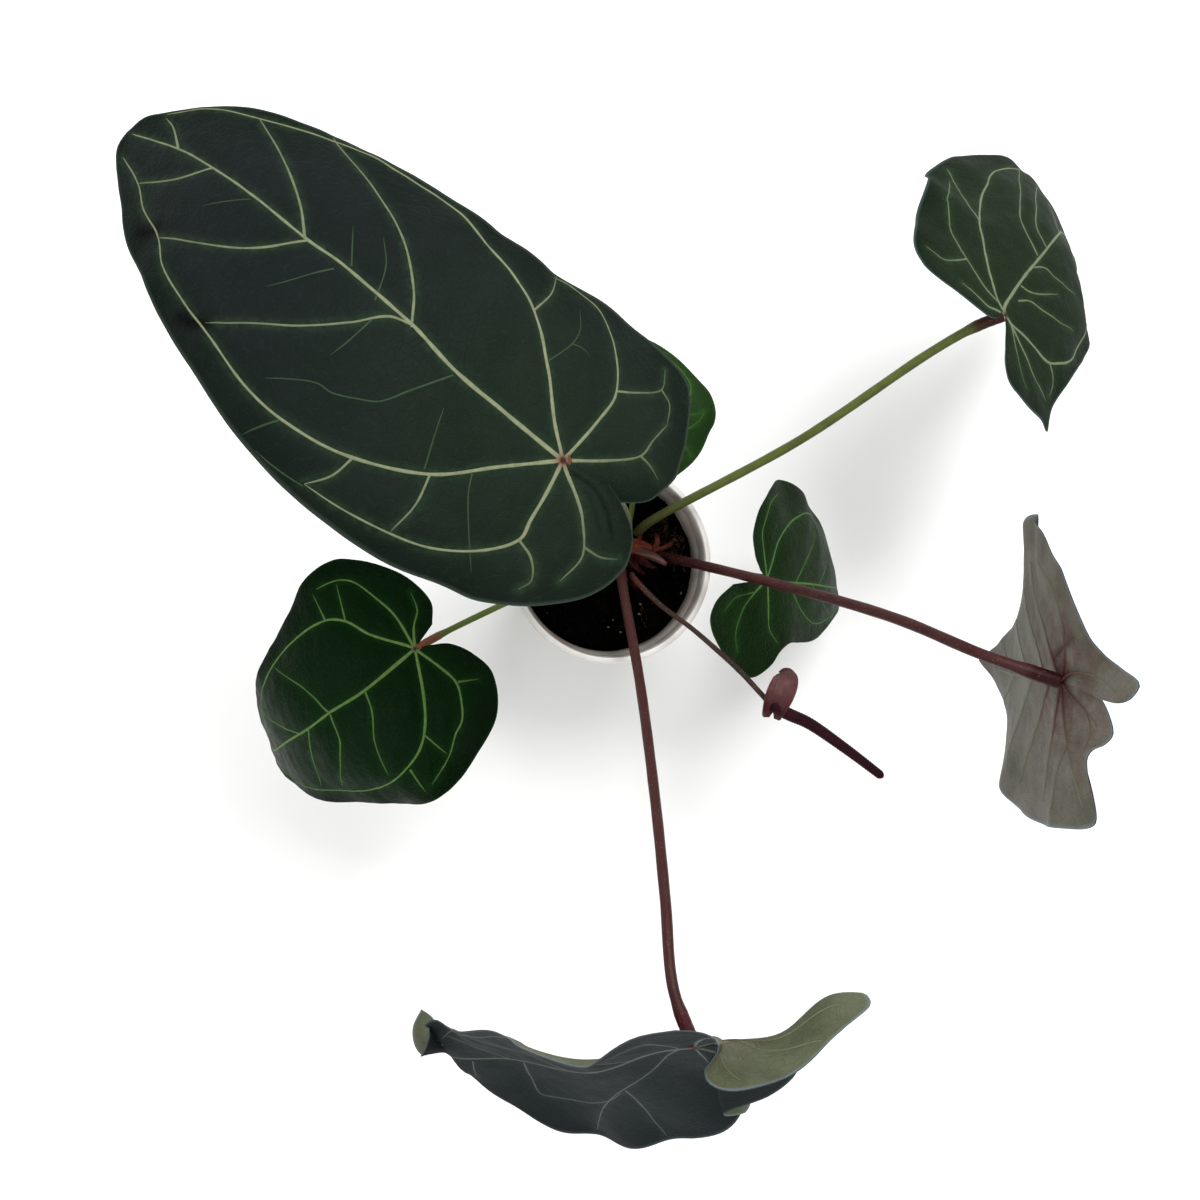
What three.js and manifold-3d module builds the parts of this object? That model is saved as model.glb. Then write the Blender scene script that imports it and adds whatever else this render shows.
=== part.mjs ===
// Potted anthurium hybrid: a young velvet-leaved aroid in a round white nursery pot.
// Millimetres, +Z up. The origin is the centre of the pot's underside, where the pot stands.
// +X and +Y are the right and the top of the plant as it is seen from above.

import * as THREE from "three";
import { mergeVertices } from "three/addons/utils/BufferGeometryUtils.js";
import Module from "manifold-3d";

const wasm = await Module();
wasm.setup();

const DEG = Math.PI / 180;

// Driving dimensions, in millimetres.
const CLEARANCE = 0.4; // left between two pieces that touch
const POT_HEIGHT = 118;
const RIM_RADIUS = 65;
const BASE_RADIUS = 45;
const POT_WALL = 1.6;
const COLLAR_HEIGHT = 17;
const COLLAR_STEP = 2.4; // how far the collar stands out from the wall
const LIP_WIDTH = 4.2; // rolled lip, seen from above
const DRAIN_RADIUS = 4;
const DRAIN_RING = 28;
const DRAIN_HOLES = 6;
const POT_SIDES = 48;
const SOIL_HEIGHT = 96;
const SOIL_ROUGHNESS = 1.3;
const CHIP_COUNT = 16;
const BLADE_THICKNESS = 0.7;
const MARGIN_WAVE = 1.6; // height of the waves along a leaf's edge
const WAVE_LENGTH = 46;
const PETIOLE_SIDES = 8;
const PETIOLE_STEPS = 20;
const GENICULUM_LENGTH = 24; // the thick joint under each blade
const GENICULUM_SWELL = 1.3;
const GENICULUM_RAMP = 10;
const FOOT_LENGTH = 30;
const FOOT_SWELL = 1.15;
const PETIOLE_TAPER = 0.1;

// Each leaf: the path of its midrib from behind the lobes to the tip, the way that the upper
// face looks, and the two margins. A rib row holds the point, the roll about the midrib, the
// rise of the left and right halves at the midrib, and how far each half curls up by its edge
// (degrees, minus is down). A margin point holds the distance along the midrib, from the
// petiole toward the tip, and the distance out from it. A margin starts at the lobe's inner
// corner and ends at the tip.
const LEAVES = [
  {
    name: "north_west",
    colour: 0x24302a,
    petioleColour: 0x5a5a32,
    facing: [0, 0, 1],
    halfWidth: 76,
    hubRow: 1,
    lap: { from: 20, slide: 3.3, lift: 4.5 },
    rib: [
      [5, -23, 350, 4, 4, -4, -25, -30],
      [-63, 24, 372, 4, 6, -4, -25, -30],
      [-127, 72, 388, 4, 6, -5, -28, -30],
      [-172, 114, 376, 4, 4, -5, -30, -30],
      [-215, 152, 350, 3, 2, -4, -30, -25],
      [-260, 181, 312, 0, 0, 0, -20, -15],
    ],
    left: [
      [-22, 0.3], [-31, 3.2], [-37, 6.5], [-42, 10], [-46, 15], [-49, 23.5], [-48.5, 29],
      [-46, 37.5], [-41, 46.5], [-33, 55.3], [-19, 67], [-6, 71.8], [11, 75.4], [31, 81.3],
      [49, 84], [68, 84.3], [86, 83.7], [105, 81.3], [131, 76.5], [160, 70], [178, 65],
      [201, 57], [218, 52], [229, 47], [237, 41], [245, 33.5], [256, 24], [264, 16.7],
      [269, 11], [271, 5], [271, 0],
    ],
    right: [
      [-31, 0.5], [-39, 6], [-44, 11], [-47, 18], [-50, 28], [-49, 36], [-48, 46], [-46, 55],
      [-44, 65], [-42, 72], [-37, 81], [-24, 85.5], [-8, 88], [9, 85.5], [33, 82], [52, 76.5],
      [71, 74], [106, 71], [133, 67], [151, 60.5], [177, 53], [198, 44.5], [224, 34],
      [240, 25], [251, 19], [263, 12], [268, 7], [271, 0],
    ],
    petioleRadius: 2.7,
    petiole: [[12, 10, 98], [4, 14, 155], [-14, 19, 240], [-42, 23, 325], [-63, 24, 372]],
  },
  {
    name: "north_east",
    colour: 0x263a28,
    petioleColour: 0x5c6a2c,
    facing: [0, 0, 1],
    halfWidth: 68,
    hubRow: 1,
    rib: [
      [173, 101, 282, 3, 0, -2, -16, -29],
      [197, 128, 262, 3, 2, -2, -15, -28],
      [227, 165, 238, -1, 2, 2, -12, -44],
      [256, 197, 209, 2, 0, 2, -33, -52],
      [287, 215, 160, 0, 4, 4, -36, -40],
      [323, 229, 103, -10, 2, -7, -18, -11],
      [339, 237, 61, -3, 0, 0, 0, 0],
    ],
    left: [
      [-2, 0.5], [-13, 7], [-17, 27], [-19, 43], [-17, 55], [-3, 68], [28, 74], [61, 81],
      [89, 82], [108, 77], [130, 62], [159, 49], [194, 36], [227, 20], [255, 10], [282, 0],
    ],
    right: [
      [-17, 9.5], [-30, 14], [-39, 23], [-37, 37], [-32, 49], [-26, 60], [-25, 68], [-17, 65],
      [-4, 62], [20, 62], [54, 67], [90, 62], [126, 52], [161, 40], [195, 28], [228, 15],
      [255, 6], [282, 0],
    ],
    petioleRadius: 2.85,
    petiole: [
      [20, 20.5, 97], [27, 27, 110], [105, 70, 180], [164, 112, 235], [183, 123, 252],
      [197, 128, 262],
    ],
  },
  {
    name: "east",
    colour: 0x5f5d50,
    petioleColour: 0x4b2226,
    facing: [1, 0, 0.25],
    halfWidth: 76,
    hubRow: 1,
    lap: { from: 62, slide: 8, lift: -3 },
    rib: [
      [188, -76, 392, 0, 5, 0, -20, -10],
      [189, -73, 330, 0, 2, 2, -8, -12],
      [198, -72, 288, 0, 2, 2, -4, -12],
      [212, -70, 240, 0, 0, -4, 10, -12],
      [225, -66, 186, 0, 5, -1, 70, 10],
      [226, -62, 157, 8, 4, -2, 20, -5],
    ],
    left: [
      [-40, 0.5], [-64, 4], [-73, 12], [-58, 18], [-41, 22], [-28, 27], [-16, 39], [-2, 54],
      [11, 64], [22, 77], [45, 86], [66, 86], [84, 71], [99, 51], [115, 34], [137, 21],
      [158, 9], [172, 0],
    ],
    right: [
      [-33, 1.5], [-44, 12], [-48, 20], [-41, 26], [-31, 30], [-27, 35], [-29, 46], [-36, 54],
      [-39, 62], [-29, 67], [-11, 70], [17, 73], [47, 72], [72, 69], [92, 62], [101, 49],
      [108, 32], [119, 21], [137, 15], [155, 6], [172, 0],
    ],
    petioleRadius: 3.15,
    petiole: [
      [33, 5, 96], [39, 3.2, 109], [96, -22, 205], [129, -41, 272], [155, -60, 318],
      [189, -73, 330],
    ],
  },
  {
    name: "south",
    colour: 0x2a2e2c,
    petioleColour: 0x4d2c2a,
    facing: [0, -0.71, 0.71],
    halfWidth: 70,
    hubRow: 4,
    rib: [
      [95, -221, 318, -53, 60, 15, 0, 22],
      [71, -221, 322, -56, 56, 22, 5, 16],
      [49, -240, 318, -46, 46, 12, 14, 20],
      [29, -247, 304, -16, 22, 13, 8, 18],
      [11, -251, 299, -6, 2, 3, 20, 20],
      [-6, -257, 284, -6, 0, 11, 6, 16],
      [-34, -275, 255, 0, 0, 2, 12, -4],
      [-71, -281, 208, 8, 0, 6, 12, 4],
      [-101, -289, 174, 8, 4, -5, 6, -2],
      [-108, -285, 168, -62, 2, -2, 4, 0],
      [-121, -261, 160, -105, 4, -2, 6, 4],
    ],
    left: [
      [-24, 2], [-35, 14], [-38, 30], [-28, 44], [-6, 62], [16, 77], [47, 91], [82, 85],
      [114, 83], [140, 68], [156, 39], [168, 25], [182, 9], [200, 7], [209, 0],
    ],
    right: [
      [-60, 5], [-84, 2], [-94, 2], [-94, 9], [-85, 16], [-70, 22], [-55, 29], [-42, 36],
      [-33, 44], [-20, 52], [-6, 55], [13, 55], [46, 59], [80, 59], [110, 56], [145, 39],
      [170, 33], [190, 24], [202, 14], [209, 0],
    ],
    petioleRadius: 3.15,
    petiole: [
      [9, -2, 98], [8, -14, 111], [10, -75, 160], [7, -139, 222], [3, -185, 268],
      [2, -224, 292], [11, -251, 299],
    ],
  },
  {
    name: "south_west",
    colour: 0x10300c,
    petioleColour: 0x55642c,
    facing: [0, 0, 1],
    halfWidth: 70,
    hubRow: 1,
    rib: [
      [-95, -30, 172, 0, 0, 0, -15, -15],
      [-124, -56, 171, 0, 5, 5, -20, -20],
      [-155, -82, 164, 0, 6, 6, -29, -29],
      [-184, -102, 142, 0, 4, 4, -38, -38],
      [-202, -115, 110, 0, 2, 2, -34, -34],
      [-212, -121, 74, 0, 0, 0, -18, -18],
      [-217, -123, 40, 0, 0, 0, 0, 0],
    ],
    left: [
      [-8, 4], [-17, 11], [-23, 24], [-24, 41], [-10, 61], [14, 72], [34, 79], [54, 80],
      [78, 73], [105, 60], [135, 43], [162, 24], [183, 9], [197, 0],
    ],
    right: [
      [-17, 4], [-25, 14], [-25, 31], [-20, 45], [-10, 60], [4, 71], [24, 73], [48, 67],
      [80, 56], [115, 43], [145, 29], [170, 14], [187, 5], [197, 0],
    ],
    petioleRadius: 2,
    petiole: [[4, 3, 98], [-4, 1, 109], [-52, -20, 140], [-104, -45, 160], [-124, -56, 171]],
  },
  {
    name: "north",
    colour: 0x2d5023,
    petioleColour: 0x5c6a2c,
    facing: [0, 0, 1],
    halfWidth: 38,
    hubRow: 1,
    rib: [
      [7, 37, 205, 0, 0, 0, -10, -10],
      [0, 61, 215, 0, 4, 4, -10, -10],
      [-3, 86, 216, 0, 4, 4, -15, -15],
      [-7, 131, 196, 0, 0, 0, 0, 0],
    ],
    left: [[-19, 3], [-25, 9], [-26, 16], [-16, 33], [9, 42], [31, 38], [54, 23], [74, 0]],
    right: [[-19, 3], [-25, 9], [-26, 18], [-16, 36], [9, 46], [31, 42], [54, 25], [74, 0]],
    petioleRadius: 1.8,
    petiole: [[13, 16, 98], [11, 28, 124], [6, 47, 172], [0, 61, 215]],
  },
  {
    name: "south_east",
    colour: 0x193c14,
    petioleColour: 0x5c6a2c,
    facing: [0, 0, 1],
    halfWidth: 62,
    hubRow: 1,
    rib: [
      [68, -9, 166, 0, 0, 0, -15, -15],
      [93, -12, 150, 0, 4, 4, -20, -20],
      [120, -13, 130, 0, 4, 4, -25, -25],
      [149, -14, 100, 0, 2, 2, -30, -30],
      [167, -13, 68, 0, 0, 0, -20, -20],
      [183, -10, 20, 0, 0, 0, 0, 0],
    ],
    left: [
      [-7, 4], [-14, 13], [-17, 27], [-10, 45], [8, 61], [28, 68], [50, 64], [75, 54],
      [100, 41], [122, 27], [143, 13], [162, 0],
    ],
    right: [
      [-30, 8], [-42, 20], [-44, 33], [-34, 46], [-18, 58], [0, 65], [11, 56], [17, 47],
      [26, 41], [40, 40], [55, 39], [66, 36], [77, 30], [90, 23], [110, 16], [135, 8],
      [162, 0],
    ],
    petioleRadius: 1.9,
    petiole: [
      [40, 4.5, 88], [43, 3, 99], [52, -1.2, 115], [64, -4.9, 125], [80, -9, 138],
      [93, -12, 150],
    ],
  },
];

// The short creeping stem that all the leaves grow from, and its roots.
const CROWN_PATH = [[4, 2, 62], [6, 5, 84], [12, 10, 97], [22, 11, 101], [31, 9, 100]];
const CROWN_RADII = [6, 8, 7.5, 5.5, 3.2];
const ROOTS = [
  { path: [[2, 4, 97], [-7, 10, 98], [-13, 16, 90]], radius: 1.9 },
  { path: [[29, 9, 100], [32.5, 13, 102], [33, 18, 98], [34, 22, 88]], radius: 1.7 },
  { path: [[30, 9, 100], [36, 10, 101.5], [42, 13, 99], [47, 16, 88]], radius: 1.6 },
  { path: [[6, 2, 96], [-4, -8, 97], [-9, -15, 88]], radius: 1.8 },
  { path: [[20, 12, 99], [22, 19, 98.5], [22, 26, 88]], radius: 1.7 },
];
// Dry leaf sheaths that still stand on the stem.
const SHEATHS = [
  { path: [[20, 7, 98], [26, 0, 99], [33, -3, 101]], width: 3.2 },
  { path: [[1, 5, 97], [-6, 9, 105], [-10, 11, 118]], width: 5 },
  { path: [[16, 6, 97], [20, -3, 99], [25, -7, 101]], width: 3 },
  { path: [[11, 4, 96], [15, -9, 99], [20, -18, 102]], width: 4 },
];
const SHOOT_PATH = [[18, 9.5, 101], [23.7, 6.4, 107], [29.6, 3, 112.5], [35.2, -1.3, 117]];
const SHOOT_RADII = [3, 2.9, 2.7, 1.3];

// The flower: a thin stalk, a turned back spathe and a tapering spadix.
const PEDUNCLE_PATH = [
  [16.5, -6, 96], [16.5, -9.5, 104], [29.2, -26.6, 122], [45.4, -43.8, 149], [56.1, -56.7, 167],
  [67.4, -69.3, 178], [83, -88, 186],
];
const PEDUNCLE_RADIUS = 1.6;
const SPADIX_PATH = [
  [83, -88, 186], [93, -94, 189], [105, -99.5, 191], [124, -113, 196], [142, -127, 200], [147, -131, 201],
];
const SPADIX_RADIUS = 3.9;
const SPADIX_TIP_RADIUS = 2.5;
const SPATHE = {
  facing: [-0.2, 0.3, 1],
  halfWidth: 9,
  hubRow: 1,
  rib: [
    [85, -99, 181, 0, 10, 10, 70, 70],
    [85, -93, 187, 0, 10, 10, 70, 70],
    [88, -82, 192, 0, 8, 8, 30, 30],
    [92, -73, 190, 0, 0, 0, 0, 0],
    [94, -69, 180, 0, 0, 0, -20, -20],
    [93, -70, 165, 0, 0, 0, -10, -10],
  ],
  left: [[-5, 1.5], [-2.5, 6], [8, 8.5], [20, 7.5], [32, 5], [44, 0]],
  right: [[-5, 1.5], [-2.5, 6], [8, 8.5], [20, 7.5], [32, 5], [44, 0]],
};

// A small seeded random source, so that every build is alike.
function randomSource(seed) {
  let state = seed;
  return () => {
    state = (state * 1664525 + 1013904223) % 4294967296;
    return state / 4294967296;
  };
}

// A smooth curve through values that stand at rising stations.
function smoothThrough(stations, values, at) {
  const last = stations.length - 1;
  const x = Math.min(Math.max(at, stations[0]), stations[last]);
  let i = 0;
  while (i < last - 1 && x >= stations[i + 1]) i += 1;
  const slope = (k) => {
    const a = Math.max(k - 1, 0);
    const b = Math.min(k + 1, last);
    return (values[b] - values[a]) / (stations[b] - stations[a]);
  };
  const h = stations[i + 1] - stations[i];
  const s = (x - stations[i]) / h;
  const s2 = s * s;
  const s3 = s2 * s;
  return (
    (2 * s3 - 3 * s2 + 1) * values[i] +
    (s3 - 2 * s2 + s) * h * slope(i) +
    (3 * s2 - 2 * s3) * values[i + 1] +
    (s3 - s2) * h * slope(i + 1)
  );
}

function smoothPoint(stations, points, at) {
  return points[0].map((_, axis) =>
    smoothThrough(stations, points.map((p) => p[axis]), at),
  );
}

function distance(a, b) {
  return Math.hypot(...a.map((value, axis) => value - b[axis]));
}

function runningLength(points) {
  const sums = [0];
  for (let i = 1; i < points.length; i += 1) {
    sums.push(sums[i - 1] + distance(points[i - 1], points[i]));
  }
  return sums;
}

// Points at equal distances along the smooth curve through the given ones.
function evenPoints(points, count) {
  const fine = 400;
  const stations = runningLength(points);
  const end = stations[stations.length - 1];
  const along = Array.from({ length: fine }, (_, k) => (end * k) / (fine - 1));
  const dense = along.map((t) => smoothPoint(stations, points, t));
  const lengths = runningLength(dense);
  const total = lengths[fine - 1];
  const result = [];
  let k = 0;
  for (let n = 0; n < count; n += 1) {
    const target = (total * n) / (count - 1);
    while (k < fine - 2 && lengths[k + 1] < target) k += 1;
    const share = (target - lengths[k]) / (lengths[k + 1] - lengths[k]);
    const t = along[k] + (along[k + 1] - along[k]) * Math.min(share, 1);
    result.push(smoothPoint(stations, points, t));
  }
  return result;
}

// The blade as a surface: where the point u along the midrib and v to its left lies in space.
function bladeSurface(leaf) {
  const points = leaf.rib.map((row) => row.slice(0, 3));
  let stations = runningLength(points);
  const fine = 1200;
  for (let round = 0; round < 3; round += 1) {
    const end = stations[stations.length - 1];
    const along = Array.from({ length: fine + 1 }, (_, k) => (end * k) / fine);
    const lengths = runningLength(along.map((t) => smoothPoint(stations, points, t)));
    stations = stations.map((s) => {
      const place = (s / end) * fine;
      const k = Math.min(Math.floor(place), fine - 1);
      return lengths[k] + (lengths[k + 1] - lengths[k]) * (place - k);
    });
  }
  const hub = stations[leaf.hubRow];
  stations = stations.map((s) => s - hub);
  const first = stations[0];
  const last = stations[stations.length - 1];
  const facing = new THREE.Vector3(...leaf.facing);
  const column = (index) => leaf.rib.map((row) => row[index]);
  const [rolls, leftFolds, rightFolds, leftCurls, rightCurls] = [3, 4, 5, 6, 7].map(column);
  const half = leaf.halfWidth;

  // Where the lobes lap, the left one slides over the right one and lies above it.
  function at(u, v) {
    if (leaf.lap && v > 0 && u < 0) {
      const share = Math.min(-u / leaf.lap.from, 1);
      const slide = leaf.lap.slide * share * share * (3 - 2 * share);
      return onSheet(u, v - slide, leaf.lap.lift * share);
    }
    return onSheet(u, v, 0);
  }

  function onSheet(u, v, lift) {
    const near = 0.5;
    const inside = Math.min(Math.max(u, first + near), last - near);
    const before = new THREE.Vector3(...smoothPoint(stations, points, inside - near));
    const after = new THREE.Vector3(...smoothPoint(stations, points, inside + near));
    const along = after.sub(before).normalize();
    const centre = new THREE.Vector3(...smoothPoint(stations, points, u));
    centre.addScaledVector(along, Math.min(u - first, 0) + Math.max(u - last, 0));
    const flatUp = facing.clone().addScaledVector(along, -facing.dot(along)).normalize();
    const flatLeft = flatUp.clone().cross(along);
    const roll = smoothThrough(stations, rolls, u) * DEG;
    const left = flatLeft.multiplyScalar(Math.cos(roll)).addScaledVector(flatUp, Math.sin(roll));
    const up = along.clone().cross(left);
    const side = v >= 0 ? 1 : -1;
    const reach = Math.abs(v);
    const fold = smoothThrough(stations, side > 0 ? leftFolds : rightFolds, u) * DEG;
    const curl = (smoothThrough(stations, side > 0 ? leftCurls : rightCurls, u) * DEG) / half;
    const bend = Math.abs(curl) < 1e-6 ? 1e-6 : curl;
    const out = (Math.sin(fold + bend * reach) - Math.sin(fold)) / bend;
    const rise = (Math.cos(fold) - Math.cos(fold + bend * reach)) / bend;
    const wave =
      MARGIN_WAVE *
      Math.min(reach / half, 1.1) ** 3 *
      Math.sin((2 * Math.PI * u) / WAVE_LENGTH + side);
    return centre.addScaledVector(left, side * out).addScaledVector(up, rise + wave + lift);
  }

  function normal(u, v) {
    const step = 0.4;
    const alongU = at(u + step, v).sub(at(u - step, v));
    const acrossSide = v >= 0 ? 1 : -1;
    const base = Math.abs(v) < step ? acrossSide * step : v;
    const alongV = at(u, base + step * 0.9).sub(at(u, base - step * 0.9));
    return alongU.cross(alongV).normalize();
  }
  return { at, normal };
}

// A blade's flat net: rows that fan out from the petiole over the lobes, then step along the
// midrib, each cut into the same number of pieces. Left and right share the midrib.
function bladeNet(leaf, lobeRows, forwardRows, pieces) {
  const flat = [];
  const triangles = [];
  const edges = { left: [], right: [] };
  const add = (u, v) => flat.push([u, v]) - 1;
  const tipU = leaf.left[leaf.left.length - 1][0];
  const hub = add(0, 0);
  const midrib = [hub];
  for (let k = 1; k < forwardRows; k += 1) midrib.push(add((tipU * k) / forwardRows, 0));
  const tip = add(tipU, 0);
  for (const side of ["left", "right"]) {
    const sign = side === "left" ? 1 : -1;
    const margin = evenPoints(leaf[side], 240).map(([u, v]) => [u, Math.abs(v) * sign]);
    const lengths = runningLength(margin);
    const shoulder = margin.findIndex(([u, v]) => Math.atan2(Math.abs(v), u) < 75 * DEG);
    const marginAt = (length) => {
      let k = 0;
      while (k < lengths.length - 2 && lengths[k + 1] < length) k += 1;
      const share = Math.min((length - lengths[k]) / (lengths[k + 1] - lengths[k]), 1);
      return margin[k].map((value, axis) => value + (margin[k + 1][axis] - value) * share);
    };
    const rows = [];
    const addRow = (start, [u, v]) => {
      const [startU, startV] = flat[start];
      const row = [start];
      for (let j = 1; j <= pieces; j += 1) {
        row.push(add(startU + ((u - startU) * j) / pieces, startV + ((v - startV) * j) / pieces));
      }
      rows.push(row);
    };
    const bend = lengths[shoulder];
    const end = lengths[lengths.length - 1];
    for (let k = 0; k <= lobeRows; k += 1) addRow(hub, marginAt((bend * k) / lobeRows));
    for (let k = 1; k < forwardRows; k += 1) {
      addRow(midrib[k], marginAt(bend + ((end - bend) * k) / forwardRows));
    }
    rows.push(new Array(pieces + 1).fill(tip));
    for (let r = 1; r < rows.length; r += 1) {
      for (let j = 0; j < pieces; j += 1) {
        const [a, b, c, d] = [rows[r - 1][j], rows[r - 1][j + 1], rows[r][j + 1], rows[r][j]];
        for (const [p, q, s] of [[a, b, c], [a, c, d]]) {
          if (p === q || q === s || s === p) continue;
          triangles.push(sign < 0 ? [p, q, s] : [p, s, q]);
        }
      }
    }
    edges[side] = [...rows[0], ...rows.slice(1, -1).map((row) => row[pieces]), tip];
  }
  return { flat, triangles, edges };
}

// A closed blade of even thickness, with the same triangles on both faces.
function bladeGeometry(leaf, rows, thickness, lift) {
  const { flat, triangles, edges } = bladeNet(leaf, rows.lobes, rows.forward, rows.pieces);
  const surface = bladeSurface(leaf);
  const positions = [];
  for (const offset of [lift, lift - thickness]) {
    for (const [u, v] of flat) {
      const point = surface.at(u, v).addScaledVector(surface.normal(u, v), offset);
      positions.push(point.x, point.y, point.z);
    }
  }
  const under = flat.length;
  const index = [];
  for (const [a, b, c] of triangles) {
    index.push(a, b, c);
    index.push(under + a, under + c, under + b);
  }
  const addRim = (loop, flip) => {
    for (let k = 1; k < loop.length; k += 1) {
      const [a, b] = flip ? [loop[k], loop[k - 1]] : [loop[k - 1], loop[k]];
      index.push(a, b, under + b);
      index.push(a, under + b, under + a);
    }
  };
  addRim(edges.left, false);
  addRim(edges.right, true);
  return indexedGeometry(positions, index);
}

function indexedGeometry(positions, index) {
  const geometry = new THREE.BufferGeometry();
  geometry.setAttribute("position", new THREE.Float32BufferAttribute(positions, 3));
  geometry.setIndex(index);
  return geometry;
}

// A closed round rod along a smooth path. radiusAt takes the share of the length that has
// passed, and the turn around the rod.
function rodGeometry(path, radiusAt, sides, steps) {
  const curve = new THREE.CatmullRomCurve3(path.map((p) => new THREE.Vector3(...p)));
  const frames = curve.computeFrenetFrames(steps, false);
  const positions = [];
  const index = [];
  for (let i = 0; i <= steps; i += 1) {
    const share = i / steps;
    const centre = curve.getPointAt(share);
    for (let j = 0; j < sides; j += 1) {
      const turn = (2 * Math.PI * j) / sides;
      const radius = radiusAt(share, turn);
      const point = centre
        .clone()
        .addScaledVector(frames.normals[i], radius * Math.cos(turn))
        .addScaledVector(frames.binormals[i], radius * Math.sin(turn));
      positions.push(point.x, point.y, point.z);
    }
  }
  const ring = (i, j) => i * sides + (j % sides);
  for (let i = 0; i < steps; i += 1) {
    for (let j = 0; j < sides; j += 1) {
      index.push(ring(i, j), ring(i, j + 1), ring(i + 1, j + 1));
      index.push(ring(i, j), ring(i + 1, j + 1), ring(i + 1, j));
    }
  }
  for (const [i, outward] of [[0, false], [steps, true]]) {
    const centre = curve.getPointAt(i / steps);
    const middle = positions.length / 3;
    positions.push(centre.x, centre.y, centre.z);
    for (let j = 0; j < sides; j += 1) {
      const pair = [ring(i, j), ring(i, j + 1)];
      if (outward) index.push(middle, pair[0], pair[1]);
      else index.push(middle, pair[1], pair[0]);
    }
  }
  return indexedGeometry(positions, index);
}

// The radius along a rod, from values at even shares of its length.
function radiiAlong(radii, extra) {
  const stations = radii.map((_, k) => k / (radii.length - 1));
  return (share) => smoothThrough(stations, radii, share) + extra;
}

function toSolid(geometry) {
  const plain = geometry.clone();
  for (const name of Object.keys(plain.attributes)) {
    if (name !== "position") plain.deleteAttribute(name);
  }
  const merged = mergeVertices(plain, 1e-4);
  return new wasm.Manifold(
    new wasm.Mesh({
      numProp: 3,
      vertProperties: new Float32Array(merged.attributes.position.array),
      triVerts: new Uint32Array(merged.index.array),
    }),
  );
}

function toGeometry(solid) {
  const mesh = solid.getMesh();
  return indexedGeometry(Array.from(mesh.vertProperties), Array.from(mesh.triVerts));
}

// The largest body of a solid, without the scraps that a cut can leave.
function mainBody(solid) {
  const bodies = solid.decompose();
  return bodies.reduce((best, body) => (body.volume() > best.volume() ? body : best));
}

function petioleLength(leaf) {
  return new THREE.CatmullRomCurve3(leaf.petiole.map((p) => new THREE.Vector3(...p))).getLength();
}

// A petiole is stoutest at its foot and at the geniculum, where the blade is hung.
function petioleSolid(leaf, extra) {
  const length = petioleLength(leaf);
  const radiusAt = (share) => {
    const fromTop = length * (1 - share);
    const fromFoot = length * share;
    const jointFoot = GENICULUM_LENGTH - GENICULUM_RAMP;
    const joint = 1 - THREE.MathUtils.smoothstep(fromTop, jointFoot, GENICULUM_LENGTH);
    const foot = 1 - THREE.MathUtils.smoothstep(fromFoot, 0, FOOT_LENGTH);
    const swell = 1 + (GENICULUM_SWELL - 1) * joint + (FOOT_SWELL - 1) * foot;
    const taper = 1 - PETIOLE_TAPER * share;
    return leaf.petioleRadius * taper * swell + extra;
  };
  return toSolid(rodGeometry(leaf.petiole, radiusAt, PETIOLE_SIDES, PETIOLE_STEPS));
}

// A dry sheath: a pointed scale, cupped along its length.
function sheathSolid(sheath, extra) {
  const steps = 4;
  const curve = new THREE.CatmullRomCurve3(sheath.path.map((p) => new THREE.Vector3(...p)));
  const half = 0.5 + extra;
  const across = [-1, -0.5, 0, 0.5, 1];
  const up = new THREE.Vector3(0, 0, 1);
  const positions = [];
  const index = [];
  for (let i = 0; i <= steps; i += 1) {
    const share = i / steps;
    const centre = curve.getPointAt(share);
    const along = curve.getTangentAt(share);
    const left = up.clone().cross(along).normalize();
    const outward = along.clone().cross(left);
    const width = sheath.width * (1 - 0.86 * share ** 1.6) + extra;
    for (const offset of [half, -half]) {
      for (const place of across) {
        const cup = 0.35 * width * (1 - place * place);
        const point = centre
          .clone()
          .addScaledVector(left, place * width)
          .addScaledVector(outward, offset - cup);
        positions.push(point.x, point.y, point.z);
      }
    }
  }
  const columns = across.length;
  const at = (i, face, j) => i * 2 * columns + face * columns + j;
  for (let i = 0; i < steps; i += 1) {
    for (let j = 0; j < columns - 1; j += 1) {
      const top = [at(i, 0, j), at(i + 1, 0, j), at(i + 1, 0, j + 1), at(i, 0, j + 1)];
      const below = [at(i, 1, j), at(i, 1, j + 1), at(i + 1, 1, j + 1), at(i + 1, 1, j)];
      for (const [a, b, c, d] of [top, below]) index.push(a, b, c, a, c, d);
    }
    const last = columns - 1;
    index.push(at(i, 0, 0), at(i, 1, 0), at(i + 1, 1, 0), at(i, 0, 0), at(i + 1, 1, 0), at(i + 1, 0, 0));
    index.push(at(i, 0, last), at(i + 1, 0, last), at(i + 1, 1, last));
    index.push(at(i, 0, last), at(i + 1, 1, last), at(i, 1, last));
  }
  for (let j = 0; j < columns - 1; j += 1) {
    index.push(at(0, 0, j), at(0, 0, j + 1), at(0, 1, j + 1), at(0, 0, j), at(0, 1, j + 1), at(0, 1, j));
    const e = steps;
    index.push(at(e, 0, j), at(e, 1, j), at(e, 1, j + 1), at(e, 0, j), at(e, 1, j + 1), at(e, 0, j + 1));
  }
  return toSolid(indexedGeometry(positions, index));
}

// The stem with its roots and dry sheaths. extra thickens it, for cutting its hole in the soil.
function crownSolid(extra) {
  let solid = toSolid(rodGeometry(CROWN_PATH, radiiAlong(CROWN_RADII, extra), 12, 9));
  for (const root of ROOTS) {
    const radii = [root.radius * 1.2, root.radius, root.radius * 0.7];
    solid = solid.add(toSolid(rodGeometry(root.path, radiiAlong(radii, extra), 6, 4)));
  }
  for (const sheath of SHEATHS) solid = solid.add(sheathSolid(sheath, extra));
  return solid;
}

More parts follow.
